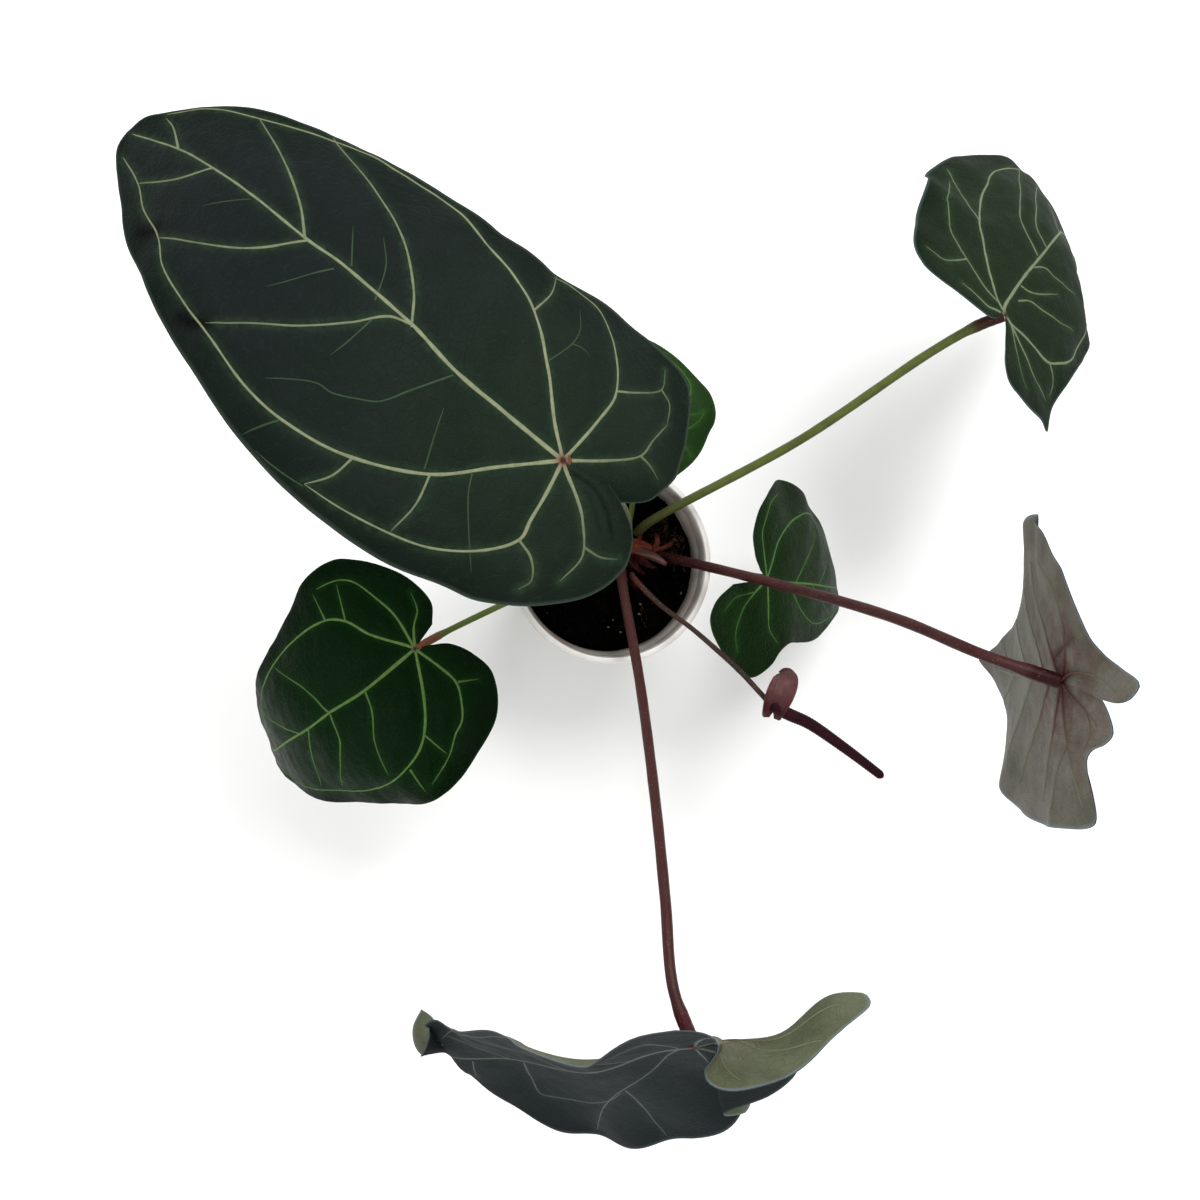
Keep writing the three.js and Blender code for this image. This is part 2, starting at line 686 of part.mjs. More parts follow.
function shootSolid(extra) {
  return toSolid(rodGeometry(SHOOT_PATH, radiiAlong(SHOOT_RADII, extra), 10, 10));
}

function peduncleSolid(extra) {
  const radii = [PEDUNCLE_RADIUS * 1.3, PEDUNCLE_RADIUS, PEDUNCLE_RADIUS, PEDUNCLE_RADIUS];
  return toSolid(rodGeometry(PEDUNCLE_PATH, radiiAlong(radii, extra), 6, 20));
}

// The spadix is covered with rows of tiny flowers that wind round it.
function spadixSolid(extra) {
  const sides = 12;
  const steps = 36;
  const relief = 0.16;
  const radiusAt = (share, turn) => {
    const taper = SPADIX_RADIUS + (SPADIX_TIP_RADIUS - SPADIX_RADIUS) * share;
    const rounded = Math.sqrt(Math.min(1, (1 - share) / 0.03) + 0.05) / Math.sqrt(1.05);
    const winding = Math.cos(6 * turn + 22 * Math.PI * share * 2);
    return taper * Math.min(1, rounded) + relief * winding + extra;
  };
  return toSolid(rodGeometry(SPADIX_PATH, radiusAt, sides, steps));
}

// Radii of the pot's tapered wall at a height.
function outerWall(height) {
  const top = RIM_RADIUS - LIP_WIDTH + 1 - COLLAR_STEP;
  return BASE_RADIUS + ((top - BASE_RADIUS) * height) / (POT_HEIGHT - COLLAR_HEIGHT);
}

function innerWall(height) {
  return outerWall(height) - POT_WALL;
}

function potGeometry() {
  const collarFoot = POT_HEIGHT - COLLAR_HEIGHT;
  const collarInner = RIM_RADIUS - LIP_WIDTH - 0.9;
  const collarOuter = collarInner + POT_WALL + 0.6;
  const profile = [
    [0, 0],
    [BASE_RADIUS - 2, 0],
    [outerWall(2), 2],
    [outerWall(collarFoot - 1), collarFoot - 1],
    [collarOuter - 0.6, collarFoot],
    [collarOuter, collarFoot + 1.5],
    [collarOuter + 0.8, POT_HEIGHT - 4.4],
    [RIM_RADIUS - 0.5, POT_HEIGHT - 3.6],
    [RIM_RADIUS, POT_HEIGHT - 2.2],
    [RIM_RADIUS - 0.6, POT_HEIGHT - 0.6],
    [RIM_RADIUS - 2, POT_HEIGHT],
    [RIM_RADIUS - LIP_WIDTH + 0.7, POT_HEIGHT - 0.3],
    [RIM_RADIUS - LIP_WIDTH, POT_HEIGHT - 1.4],
    [collarInner + 0.6, POT_HEIGHT - 4],
    [collarInner, collarFoot + 3.5],
    [innerWall(collarFoot + 1), collarFoot + 1.5],
    [innerWall(5), 5],
    [innerWall(3) - 1.6, 3],
    [0, 3],
  ];
  return new THREE.LatheGeometry(profile.map(([r, z]) => new THREE.Vector2(r, z)), POT_SIDES).rotateX(
    Math.PI / 2,
  );
}

function potSolid() {
  let solid = toSolid(potGeometry());
  for (let k = 0; k < DRAIN_HOLES; k += 1) {
    const turn = (2 * Math.PI * k) / DRAIN_HOLES;
    const drill = new THREE.CylinderGeometry(DRAIN_RADIUS, DRAIN_RADIUS, 12, 16)
      .rotateX(Math.PI / 2)
      .translate(DRAIN_RING * Math.cos(turn), DRAIN_RING * Math.sin(turn), 0);
    solid = solid.subtract(toSolid(drill));
  }
  return solid;
}

// The soil fills the pot to below its collar, with a crumbly top and some bark chips in it.
function soilSolid() {
  const rings = 7;
  const sides = 32;
  const random = randomSource(7);
  const foot = 3 + CLEARANCE;
  const slack = CLEARANCE + 0.1;
  const positions = [];
  const index = [];
  const top = positions.length;
  positions.push(0, 0, SOIL_HEIGHT + 1.5);
  for (let i = 1; i <= rings; i += 1) {
    const share = i / rings;
    for (let j = 0; j < sides; j += 1) {
      const turn = (2 * Math.PI * j) / sides;
      const radius = (innerWall(SOIL_HEIGHT) - slack) * share;
      const mound = 1.5 * (1 - share * share);
      const crumb = i === rings ? 0 : SOIL_ROUGHNESS * (random() - 0.5) * 2;
      positions.push(radius * Math.cos(turn), radius * Math.sin(turn), SOIL_HEIGHT + mound + crumb);
    }
  }
  const ring = (i, j) => 1 + (i - 1) * sides + (j % sides);
  for (let j = 0; j < sides; j += 1) index.push(top, ring(1, j), ring(1, j + 1));
  for (let i = 1; i < rings; i += 1) {
    for (let j = 0; j < sides; j += 1) {
      index.push(ring(i, j), ring(i + 1, j), ring(i + 1, j + 1));
      index.push(ring(i, j), ring(i + 1, j + 1), ring(i, j + 1));
    }
  }
  const lower = positions.length / 3;
  for (let j = 0; j < sides; j += 1) {
    const turn = (2 * Math.PI * j) / sides;
    const radius = innerWall(foot) - slack - 1.6;
    positions.push(radius * Math.cos(turn), radius * Math.sin(turn), foot);
  }
  const base = positions.length / 3;
  positions.push(0, 0, foot);
  for (let j = 0; j < sides; j += 1) {
    const next = (j + 1) % sides;
    index.push(ring(rings, j), lower + j, lower + next);
    index.push(ring(rings, j), lower + next, ring(rings, j + 1));
    index.push(base, lower + next, lower + j);
  }
  let solid = toSolid(indexedGeometry(positions, index));
  for (let k = 0; k < CHIP_COUNT; k += 1) {
    const turn = 2 * Math.PI * random();
    const radius = 20 + 30 * random();
    const size = 1.6 + 1.8 * random();
    const chip = new THREE.IcosahedronGeometry(size, 0)
      .scale(1.7, 1, 0.7)
      .rotateZ(Math.PI * random())
      .translate(radius * Math.cos(turn), radius * Math.sin(turn), SOIL_HEIGHT + 0.8);
    solid = solid.add(toSolid(chip));
  }
  return solid;
}

const anthurium = new THREE.Group();

function addPiece(name, solid, colour, roughness) {
  const material = new THREE.MeshStandardMaterial({ color: colour, roughness, metalness: 0 });
  const mesh = new THREE.Mesh(toGeometry(mainBody(solid)), material);
  mesh.name = name;
  anthurium.add(mesh);
}

const BIG_ROWS = { lobes: 9, forward: 13, pieces: 5 };
const SMALL_ROWS = { lobes: 8, forward: 11, pieces: 4 };
const SPATHE_ROWS = { lobes: 3, forward: 9, pieces: 3 };

let crown = crownSolid(0);
for (const leaf of LEAVES) {
  const rows = leaf.halfWidth > 65 ? BIG_ROWS : SMALL_ROWS;
  const blade = toSolid(bladeGeometry(leaf, rows, BLADE_THICKNESS, 0));
  const bladeRoom = toSolid(
    bladeGeometry(leaf, rows, BLADE_THICKNESS + 2 * CLEARANCE, CLEARANCE),
  );
  const petiole = petioleSolid(leaf, 0).subtract(bladeRoom);
  crown = crown.subtract(petioleSolid(leaf, CLEARANCE));
  addPiece(`blade_${leaf.name}`, blade, leaf.colour, 0.62);
  addPiece(`petiole_${leaf.name}`, petiole, leaf.petioleColour, 0.5);
}

const spadix = spadixSolid(0);
const peduncle = peduncleSolid(0).subtract(spadixSolid(CLEARANCE));
const spathe = toSolid(bladeGeometry(SPATHE, SPATHE_ROWS, BLADE_THICKNESS, 0))
  .subtract(spadixSolid(CLEARANCE))
  .subtract(peduncleSolid(CLEARANCE));
crown = crown.subtract(peduncleSolid(CLEARANCE)).subtract(shootSolid(CLEARANCE));
let soil = soilSolid().subtract(crownSolid(CLEARANCE)).subtract(shootSolid(CLEARANCE));
for (const leaf of LEAVES) soil = soil.subtract(petioleSolid(leaf, CLEARANCE));
soil = soil.subtract(peduncleSolid(CLEARANCE));

addPiece("pot", potSolid(), 0xdedad6, 0.35);
addPiece("soil", soil, 0x1b1613, 0.95);
addPiece("crown", crown, 0x6b3a22, 0.8);
addPiece("new_shoot", shootSolid(0), 0x7a4450, 0.5);
addPiece("peduncle", peduncle, 0x4a2f2a, 0.5);
addPiece("spathe", spathe, 0x6e4648, 0.55);
addPiece("spadix", spadix, 0x32081a, 0.6);

export default anthurium;
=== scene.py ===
# %% [markdown]
# # A potted anthurium hybrid
# The plant is a velvet leaved anthurium in a plain white plastic pot, seen from almost straight
# above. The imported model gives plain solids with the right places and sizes. Here each solid is
# replaced by a finer piece with the same form, and gets the veins, the velvet and the soil that
# the solids leave out. All tables are in millimetres, and Blender's unit is the metre.

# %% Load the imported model
import math
import bmesh
import bpy
import numpy as np
from mathutils import Matrix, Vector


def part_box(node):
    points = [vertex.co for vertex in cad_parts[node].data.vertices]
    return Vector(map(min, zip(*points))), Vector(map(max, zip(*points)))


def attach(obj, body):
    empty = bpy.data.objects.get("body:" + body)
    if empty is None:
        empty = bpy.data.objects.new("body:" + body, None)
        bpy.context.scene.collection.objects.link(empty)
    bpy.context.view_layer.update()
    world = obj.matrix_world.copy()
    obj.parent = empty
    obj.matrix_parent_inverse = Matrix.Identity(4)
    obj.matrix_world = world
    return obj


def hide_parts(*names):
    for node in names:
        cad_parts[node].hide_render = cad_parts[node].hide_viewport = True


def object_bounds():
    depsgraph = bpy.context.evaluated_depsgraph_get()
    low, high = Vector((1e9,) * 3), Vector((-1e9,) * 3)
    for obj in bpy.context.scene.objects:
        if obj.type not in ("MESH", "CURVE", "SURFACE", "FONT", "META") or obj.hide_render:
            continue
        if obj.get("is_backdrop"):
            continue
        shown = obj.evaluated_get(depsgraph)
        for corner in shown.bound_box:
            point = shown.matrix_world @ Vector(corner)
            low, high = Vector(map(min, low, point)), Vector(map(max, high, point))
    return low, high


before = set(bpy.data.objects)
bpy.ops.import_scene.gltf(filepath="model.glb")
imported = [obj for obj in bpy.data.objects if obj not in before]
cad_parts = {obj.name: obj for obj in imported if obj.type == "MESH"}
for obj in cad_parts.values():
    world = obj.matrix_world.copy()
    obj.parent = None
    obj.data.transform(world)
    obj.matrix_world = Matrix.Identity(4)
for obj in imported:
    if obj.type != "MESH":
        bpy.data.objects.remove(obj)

cad_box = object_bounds()
MM = 0.001
low_corner, high_corner = ([round(c, 3) for c in corner] for corner in cad_box)
print(len(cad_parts), "solids, from", low_corner, "to", high_corner)

# %% [markdown]
# ## Camera, floor and light
# The photograph looks down at the pot from about 80 cm, a little from the left and the front.
# The circles of the rim and of the soil give that place. A camera matrix can be written down
# directly: its three columns are the camera's right, its up, and the way it looks, turned round.

# %% Camera
EYE = np.array([-130.0, -60.0, 908.0])
LOOKED_AT = np.array([-7.6, -24.7, 118.0])
FILM_WIDTH, FOCAL_LENGTH = 36, 37.86
forward = (LOOKED_AT - EYE) / np.linalg.norm(LOOKED_AT - EYE)
right = np.cross(forward, [0, 1, 0])
right /= np.linalg.norm(right)
up = np.cross(right, forward)
camera_data = bpy.data.cameras.new("camera")
camera_data.sensor_width = FILM_WIDTH
camera_data.lens = FOCAL_LENGTH
camera = bpy.data.objects.new("camera", camera_data)
turn = Matrix([right, up, -forward]).transposed().to_4x4()
camera.matrix_world = Matrix.Translation(EYE * MM) @ turn
bpy.context.collection.objects.link(camera)
bpy.context.scene.camera = camera
print("camera", round(float(np.linalg.norm(LOOKED_AT - EYE))), "mm from the rim")

# %% [markdown]
# A node tree is easier to read when each node is made in one line. `put` adds a node, sets its
# options, and fills its sockets either with a value or with another node's output.

# %% Helpers for materials
def linear(code):
    """A web colour such as 24302a as the linear colour that a shader works with."""
    parts = [int(code[k : k + 2], 16) / 255 for k in (0, 2, 4)]
    return [p / 12.92 if p <= 0.04045 else ((p + 0.055) / 1.055) ** 2.4 for p in parts] + [1]


def put(tree, kind, sockets=None, **options):
    """A new node. A socket is given a number, a web colour or another node's output."""
    node = tree.nodes.new("ShaderNode" + kind)
    for name, value in options.items():
        setattr(node, name, value)
    for name, value in (sockets or {}).items():
        if isinstance(value, bpy.types.NodeSocket):
            tree.links.new(value, node.inputs[name])
        elif isinstance(value, str):
            node.inputs[name].default_value = linear(value)
        else:
            node.inputs[name].default_value = value
    return node


def mixed(tree, share, first, second):
    """A colour between two others, where share runs from 0 to 1."""
    node = put(tree, "Mix", {0: share, 6: first, 7: second}, data_type="RGBA")
    return node.outputs[2]


def ranged(tree, value, low, high, to_low=0.0, to_high=1.0):
    """A value stretched so that low to high becomes to_low to to_high, smoothly."""
    sockets = {0: value, 1: low, 2: high, 3: to_low, 4: to_high}
    return put(tree, "MapRange", sockets, interpolation_type="SMOOTHSTEP").outputs[0]


def times(tree, a, b):
    return put(tree, "Math", {0: a, 1: b}, operation="MULTIPLY").outputs[0]


def plus(tree, a, b):
    return put(tree, "Math", {0: a, 1: b}, operation="ADD").outputs[0]


def attribute(tree, name):
    return put(tree, "Attribute", attribute_name=name).outputs["Fac"]


def place(tree):
    return put(tree, "TexCoord").outputs["Object"]


def noise(tree, grain_mm, detail=3.0, distortion=0.0):
    """Cloudy noise from 0 to 1 whose clouds are about grain_mm wide."""
    sockets = {"Vector": place(tree), "Scale": 1 / (grain_mm * MM), "Detail": detail, "Distortion": distortion}
    return put(tree, "TexNoise", sockets).outputs["Fac"]


def finish_of(name, colour, roughness=0.5, height=None, depth_mm=0.1, **sockets):
    """A material. colour(tree) and height(tree) give the sockets that vary over the surface."""
    material = bpy.data.materials.new(name)
    material.use_nodes = True
    tree = material.node_tree
    shader = tree.nodes["Principled BSDF"]
    tree.links.new(colour(tree), shader.inputs["Base Color"])
    if callable(roughness):
        tree.links.new(roughness(tree), shader.inputs["Roughness"])
    else:
        shader.inputs["Roughness"].default_value = roughness
    for socket, value in sockets.items():
        shader.inputs[socket.replace("_", " ")].default_value = value
    if height:
        relief = put(tree, "Bump", {"Distance": depth_mm * MM, "Height": height(tree)})
        tree.links.new(relief.outputs["Normal"], shader.inputs["Normal"])
    return material


# %% [markdown]
# The floor is a sheet of pale paper that fades into an even sky, so the plant stands on almost
# white. A large soft lamp high up behind the plant gives the leaves their faint top light, and a
# weaker one fills from the front.

# %% Floor and lamps
def floor_colour(tree):
    return mixed(tree, noise(tree, 400), "f7f7f7", "f3f3f2")


FLOOR_HALF, FLOOR_GAP, SKY_STRENGTH = 3.0, 0.0005, 0.85
floor_mesh = bpy.data.meshes.new("floor")
floor_corners = [(x * FLOOR_HALF, y * FLOOR_HALF, 0) for x, y in ((-1, -1), (1, -1), (1, 1), (-1, 1))]
floor_mesh.from_pydata(floor_corners, [], [(0, 1, 2, 3)])
floor = bpy.data.objects.new("floor", floor_mesh)
floor.location.z = -FLOOR_GAP
floor_mesh.materials.append(
    finish_of("floor_paper", floor_colour, 0.9, lambda tree: noise(tree, 3), 0.02, Specular_IOR_Level=0.1)
)
bpy.context.collection.objects.link(floor)
floor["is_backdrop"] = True

world = bpy.data.worlds.new("studio")
world.use_nodes = True
sky = world.node_tree.nodes["Background"]
sky.inputs["Color"].default_value = (1, 1, 1, 1)
sky.inputs["Strength"].default_value = SKY_STRENGTH
bpy.context.scene.world = world
bpy.context.scene.view_settings.view_transform = "Standard"


def soft_lamp(name, place_mm, aim_mm, size_mm, watts):
    data = bpy.data.lights.new(name, "AREA")
    data.shape = "DISK"
    data.size = size_mm * MM
    data.energy = watts
    lamp = bpy.data.objects.new(name, data)
    away = np.array(place_mm, float) - np.array(aim_mm, float)
    side = np.cross([0, 0, 1.0], away)
    side /= np.linalg.norm(side)
    away /= np.linalg.norm(away)
    turn = Matrix([side, np.cross(away, side), away]).transposed().to_4x4()
    lamp.matrix_world = Matrix.Translation(np.array(place_mm) * MM) @ turn
    bpy.context.collection.objects.link(lamp)


soft_lamp("lamp_above", (250, 900, 1700), (0, 0, 200), 900, 26)
soft_lamp("lamp_front", (-900, -900, 1300), (0, 0, 150), 1100, 9)
print("2 lamps and a floor")

# %% [markdown]
# ## The leaves as numbers
# Every leaf follows one recipe. A row of `rib` says where the midrib passes (x, y, z), how far
# the blade rolls about it, how steeply the left and right halves rise from it, and how far each
# half curls by its edge, all in degrees. `left` and `right` are the edges on the flat leaf: the
# distance along the midrib from the stalk, and the distance out. `facing` is the way the upper
# face looks, `hub` counts the rows to the one where the stalk joins, and `half` is the width over
# which a half curls by its angle. `lap` slides and lifts the left lobe where it lies over the
# right one. `stalk` is the petiole's radius, and `petiole` the points that it passes. The seven
# leaves were measured in the photograph, and the far sides that it hides were filled in as such
# leaves grow.

# %% Leaf tables
LEAVES = {
    "north_west": dict(
        facing=[0, 0, 1], half=76, hub=1, lap=(20, 3.3, 4.5),
        rib=[[5, -23, 350, 4, 4, -4, -25, -30], [-63, 24, 372, 4, 6, -4, -25, -30],
             [-127, 72, 388, 4, 6, -5, -28, -30], [-172, 114, 376, 4, 4, -5, -30, -30],
             [-215, 152, 350, 3, 2, -4, -30, -25], [-260, 181, 312, 0, 0, 0, -20, -15]],
        left=[[-22, 0.3], [-31, 3.2], [-37, 6.5], [-42, 10], [-46, 15], [-49, 23.5], [-48.5, 29],
              [-46, 37.5], [-41, 46.5], [-33, 55.3], [-19, 67], [-6, 71.8], [11, 75.4], [31, 81.3],
              [49, 84], [68, 84.3], [86, 83.7], [105, 81.3], [131, 76.5], [160, 70], [178, 65],
              [201, 57], [218, 52], [229, 47], [237, 41], [245, 33.5], [256, 24], [264, 16.7],
              [269, 11], [271, 5], [271, 0]],
        right=[[-31, 0.5], [-39, 6], [-44, 11], [-47, 18], [-50, 28], [-49, 36], [-48, 46],
               [-46, 55], [-44, 65], [-42, 72], [-37, 81], [-24, 85.5], [-8, 88], [9, 85.5],
               [33, 82], [52, 76.5], [71, 74], [106, 71], [133, 67], [151, 60.5], [177, 53],
               [198, 44.5], [224, 34], [240, 25], [251, 19], [263, 12], [268, 7], [271, 0]],
        stalk=2.7, petiole=[[12, 10, 98], [4, 14, 155], [-14, 19, 240], [-42, 23, 325],
                 [-63, 24, 372]],
    ),
    "north_east": dict(
        facing=[0, 0, 1], half=68, hub=1,
        rib=[[173, 101, 282, 3, 0, -2, -16, -29], [197, 128, 262, 3, 2, -2, -15, -28],
             [227, 165, 238, -1, 2, 2, -12, -44], [256, 197, 209, 2, 0, 2, -33, -52],
             [287, 215, 160, 0, 4, 4, -36, -40], [323, 229, 103, -10, 2, -7, -18, -11],
             [339, 237, 61, -3, 0, 0, 0, 0]],
        left=[[-2, 0.5], [-13, 7], [-17, 27], [-19, 43], [-17, 55], [-3, 68], [28, 74], [61, 81],
              [89, 82], [108, 77], [130, 62], [159, 49], [194, 36], [227, 20], [255, 10], [282, 0]],
        right=[[-17, 9.5], [-30, 14], [-39, 23], [-37, 37], [-32, 49], [-26, 60], [-25, 68],
               [-17, 65], [-4, 62], [20, 62], [54, 67], [90, 62], [126, 52], [161, 40], [195, 28],
               [228, 15], [255, 6], [282, 0]],
        stalk=2.85, petiole=[[20, 20.5, 97], [27, 27, 110], [105, 70, 180], [164, 112, 235],
                 [183, 123, 252], [197, 128, 262]],
    ),
    "east": dict(
        facing=[1, 0, 0.25], half=76, hub=1, lap=(62, 8, -3),
        rib=[[188, -76, 392, 0, 5, 0, -20, -10], [189, -73, 330, 0, 2, 2, -8, -12],
             [198, -72, 288, 0, 2, 2, -4, -12], [212, -70, 240, 0, 0, -4, 10, -12],
             [225, -66, 186, 0, 5, -1, 70, 10], [226, -62, 157, 8, 4, -2, 20, -5]],
        left=[[-40, 0.5], [-64, 4], [-73, 12], [-58, 18], [-41, 22], [-28, 27], [-16, 39], [-2, 54],
              [11, 64], [22, 77], [45, 86], [66, 86], [84, 71], [99, 51], [115, 34], [137, 21],
              [158, 9], [172, 0]],
        right=[[-33, 1.5], [-44, 12], [-48, 20], [-41, 26], [-31, 30], [-27, 35], [-29, 46],
               [-36, 54], [-39, 62], [-29, 67], [-11, 70], [17, 73], [47, 72], [72, 69], [92, 62],
               [101, 49], [108, 32], [119, 21], [137, 15], [155, 6], [172, 0]],
        stalk=3.15, petiole=[[33, 5, 96], [39, 3.2, 109], [96, -22, 205], [129, -41, 272],
                 [155, -60, 318], [189, -73, 330]],
    ),
    "south": dict(
        facing=[0, -0.71, 0.71], half=70, hub=4,
        rib=[[95, -221, 318, -53, 60, 15, 0, 22], [71, -221, 322, -56, 56, 22, 5, 16],
             [49, -240, 318, -46, 46, 12, 14, 20], [29, -247, 304, -16, 22, 13, 8, 18],
             [11, -251, 299, -6, 2, 3, 20, 20], [-6, -257, 284, -6, 0, 11, 6, 16],
             [-34, -275, 255, 0, 0, 2, 12, -4], [-71, -281, 208, 8, 0, 6, 12, 4],
             [-101, -289, 174, 8, 4, -5, 6, -2], [-108, -285, 168, -62, 2, -2, 4, 0],
             [-121, -261, 160, -105, 4, -2, 6, 4]],
        left=[[-24, 2], [-35, 14], [-38, 30], [-28, 44], [-6, 62], [16, 77], [47, 91], [82, 85],
              [114, 83], [140, 68], [156, 39], [168, 25], [182, 9], [200, 7], [209, 0]],
        right=[[-60, 5], [-84, 2], [-94, 2], [-94, 9], [-85, 16], [-70, 22], [-55, 29], [-42, 36],
               [-33, 44], [-20, 52], [-6, 55], [13, 55], [46, 59], [80, 59], [110, 56], [145, 39],
               [170, 33], [190, 24], [202, 14], [209, 0]],
        stalk=3.15, petiole=[[9, -2, 98], [8, -14, 111], [10, -75, 160], [7, -139, 222],
                 [3, -185, 268], [2, -224, 292], [11, -251, 299]],
    ),
    "south_west": dict(
        facing=[0, 0, 1], half=70, hub=1,
        rib=[[-95, -30, 172, 0, 0, 0, -15, -15], [-124, -56, 171, 0, 5, 5, -20, -20],
             [-155, -82, 164, 0, 6, 6, -29, -29], [-184, -102, 142, 0, 4, 4, -38, -38],
             [-202, -115, 110, 0, 2, 2, -34, -34], [-212, -121, 74, 0, 0, 0, -18, -18],
             [-217, -123, 40, 0, 0, 0, 0, 0]],
        left=[[-8, 4], [-17, 11], [-23, 24], [-24, 41], [-10, 61], [14, 72], [34, 79], [54, 80],
              [78, 73], [105, 60], [135, 43], [162, 24], [183, 9], [197, 0]],
        right=[[-17, 4], [-25, 14], [-25, 31], [-20, 45], [-10, 60], [4, 71], [24, 73], [48, 67],
               [80, 56], [115, 43], [145, 29], [170, 14], [187, 5], [197, 0]],
        stalk=2, petiole=[[4, 3, 98], [-4, 1, 109], [-52, -20, 140], [-104, -45, 160],
                 [-124, -56, 171]],
    ),
    "north": dict(
        facing=[0, 0, 1], half=38, hub=1,
        rib=[[7, 37, 205, 0, 0, 0, -10, -10], [0, 61, 215, 0, 4, 4, -10, -10],
             [-3, 86, 216, 0, 4, 4, -15, -15], [-7, 131, 196, 0, 0, 0, 0, 0]],
        left=[[-19, 3], [-25, 9], [-26, 16], [-16, 33], [9, 42], [31, 38], [54, 23], [74, 0]],
        right=[[-19, 3], [-25, 9], [-26, 18], [-16, 36], [9, 46], [31, 42], [54, 25], [74, 0]],
        stalk=1.8, petiole=[[13, 16, 98], [11, 28, 124], [6, 47, 172], [0, 61, 215]],
    ),
    "south_east": dict(
        facing=[0, 0, 1], half=62, hub=1,
        rib=[[68, -9, 166, 0, 0, 0, -15, -15], [93, -12, 150, 0, 4, 4, -20, -20],
             [120, -13, 130, 0, 4, 4, -25, -25], [149, -14, 100, 0, 2, 2, -30, -30],
             [167, -13, 68, 0, 0, 0, -20, -20], [183, -10, 20, 0, 0, 0, 0, 0]],
        left=[[-7, 4], [-14, 13], [-17, 27], [-10, 45], [8, 61], [28, 68], [50, 64], [75, 54],
              [100, 41], [122, 27], [143, 13], [162, 0]],
        right=[[-30, 8], [-42, 20], [-44, 33], [-34, 46], [-18, 58], [0, 65], [11, 56], [17, 47],
               [26, 41], [40, 40], [55, 39], [66, 36], [77, 30], [90, 23], [110, 16], [135, 8],
               [162, 0]],
        stalk=1.9, petiole=[[38, 5, 88], [41, 4, 98], [53, -0.4, 108.5], [65, -4.1, 121],
                 [80, -8.8, 137], [93, -12, 150]],
    ),
}
print(len(LEAVES), "leaves")

# %% [markdown]
# ## A curved sheet from a flat leaf
# A real blade is a flat sheet that has been bent but hardly stretched, so the best description
# is a map: give it a point of the flat leaf, and it answers with the point in space. Then the
# blade's net, its veins and its ribs can all be drawn on the flat leaf and bent together. The
# map walks along the midrib with a small frame of three directions, and lays each half off as
# an arc of a circle. numpy works on whole arrays of points at once, which keeps this quick.

# %% Curves
def smooth_through(stations, values, at):
    """A smooth curve through values at rising stations. at may be an array of any shape."""
    stations = np.asarray(stations, float)
    values = np.asarray(values, float)
    at = np.clip(np.asarray(at, float), stations[0], stations[-1])
    slopes = np.empty_like(values)
    gaps = (stations[2:] - stations[:-2]).reshape((-1,) + (1,) * (values.ndim - 1))
    slopes[1:-1] = (values[2:] - values[:-2]) / gaps
    slopes[0] = (values[1] - values[0]) / (stations[1] - stations[0])
    slopes[-1] = (values[-1] - values[-2]) / (stations[-1] - stations[-2])
    i = np.clip(np.searchsorted(stations, at, side="right") - 1, 0, len(stations) - 2)
    step = stations[i + 1] - stations[i]
    s = (at - stations[i]) / step
    weights = [
        2 * s**3 - 3 * s**2 + 1, (s**3 - 2 * s**2 + s) * step, 3 * s**2 - 2 * s**3, (s**3 - s**2) * step,
    ]
    parts = [values[i], slopes[i], values[i + 1], slopes[i + 1]]
    if values.ndim > 1:
        weights = [w[..., None] for w in weights]
    return sum(w * p for w, p in zip(weights, parts))


def running_length(points):
    return np.concatenate([[0], np.cumsum(np.linalg.norm(np.diff(points, axis=0), axis=1))])


def even_points(points, count):
    """Points at equal distances along the smooth curve through the given ones."""
    points = np.asarray(points, float)
    stations = running_length(points)
    dense = smooth_through(stations, points, np.linspace(0, stations[-1], 60 * len(points)))
    lengths = running_length(dense)
    wanted = np.linspace(0, lengths[-1], count)
    return np.stack([np.interp(wanted, lengths, dense[:, k]) for k in range(dense.shape[1])], axis=1)


# %% The sheet
def unit(vectors):
    return vectors / np.linalg.norm(vectors, axis=-1, keepdims=True)


WAVE_HEIGHT, WAVE_LENGTH = 1.6, 46


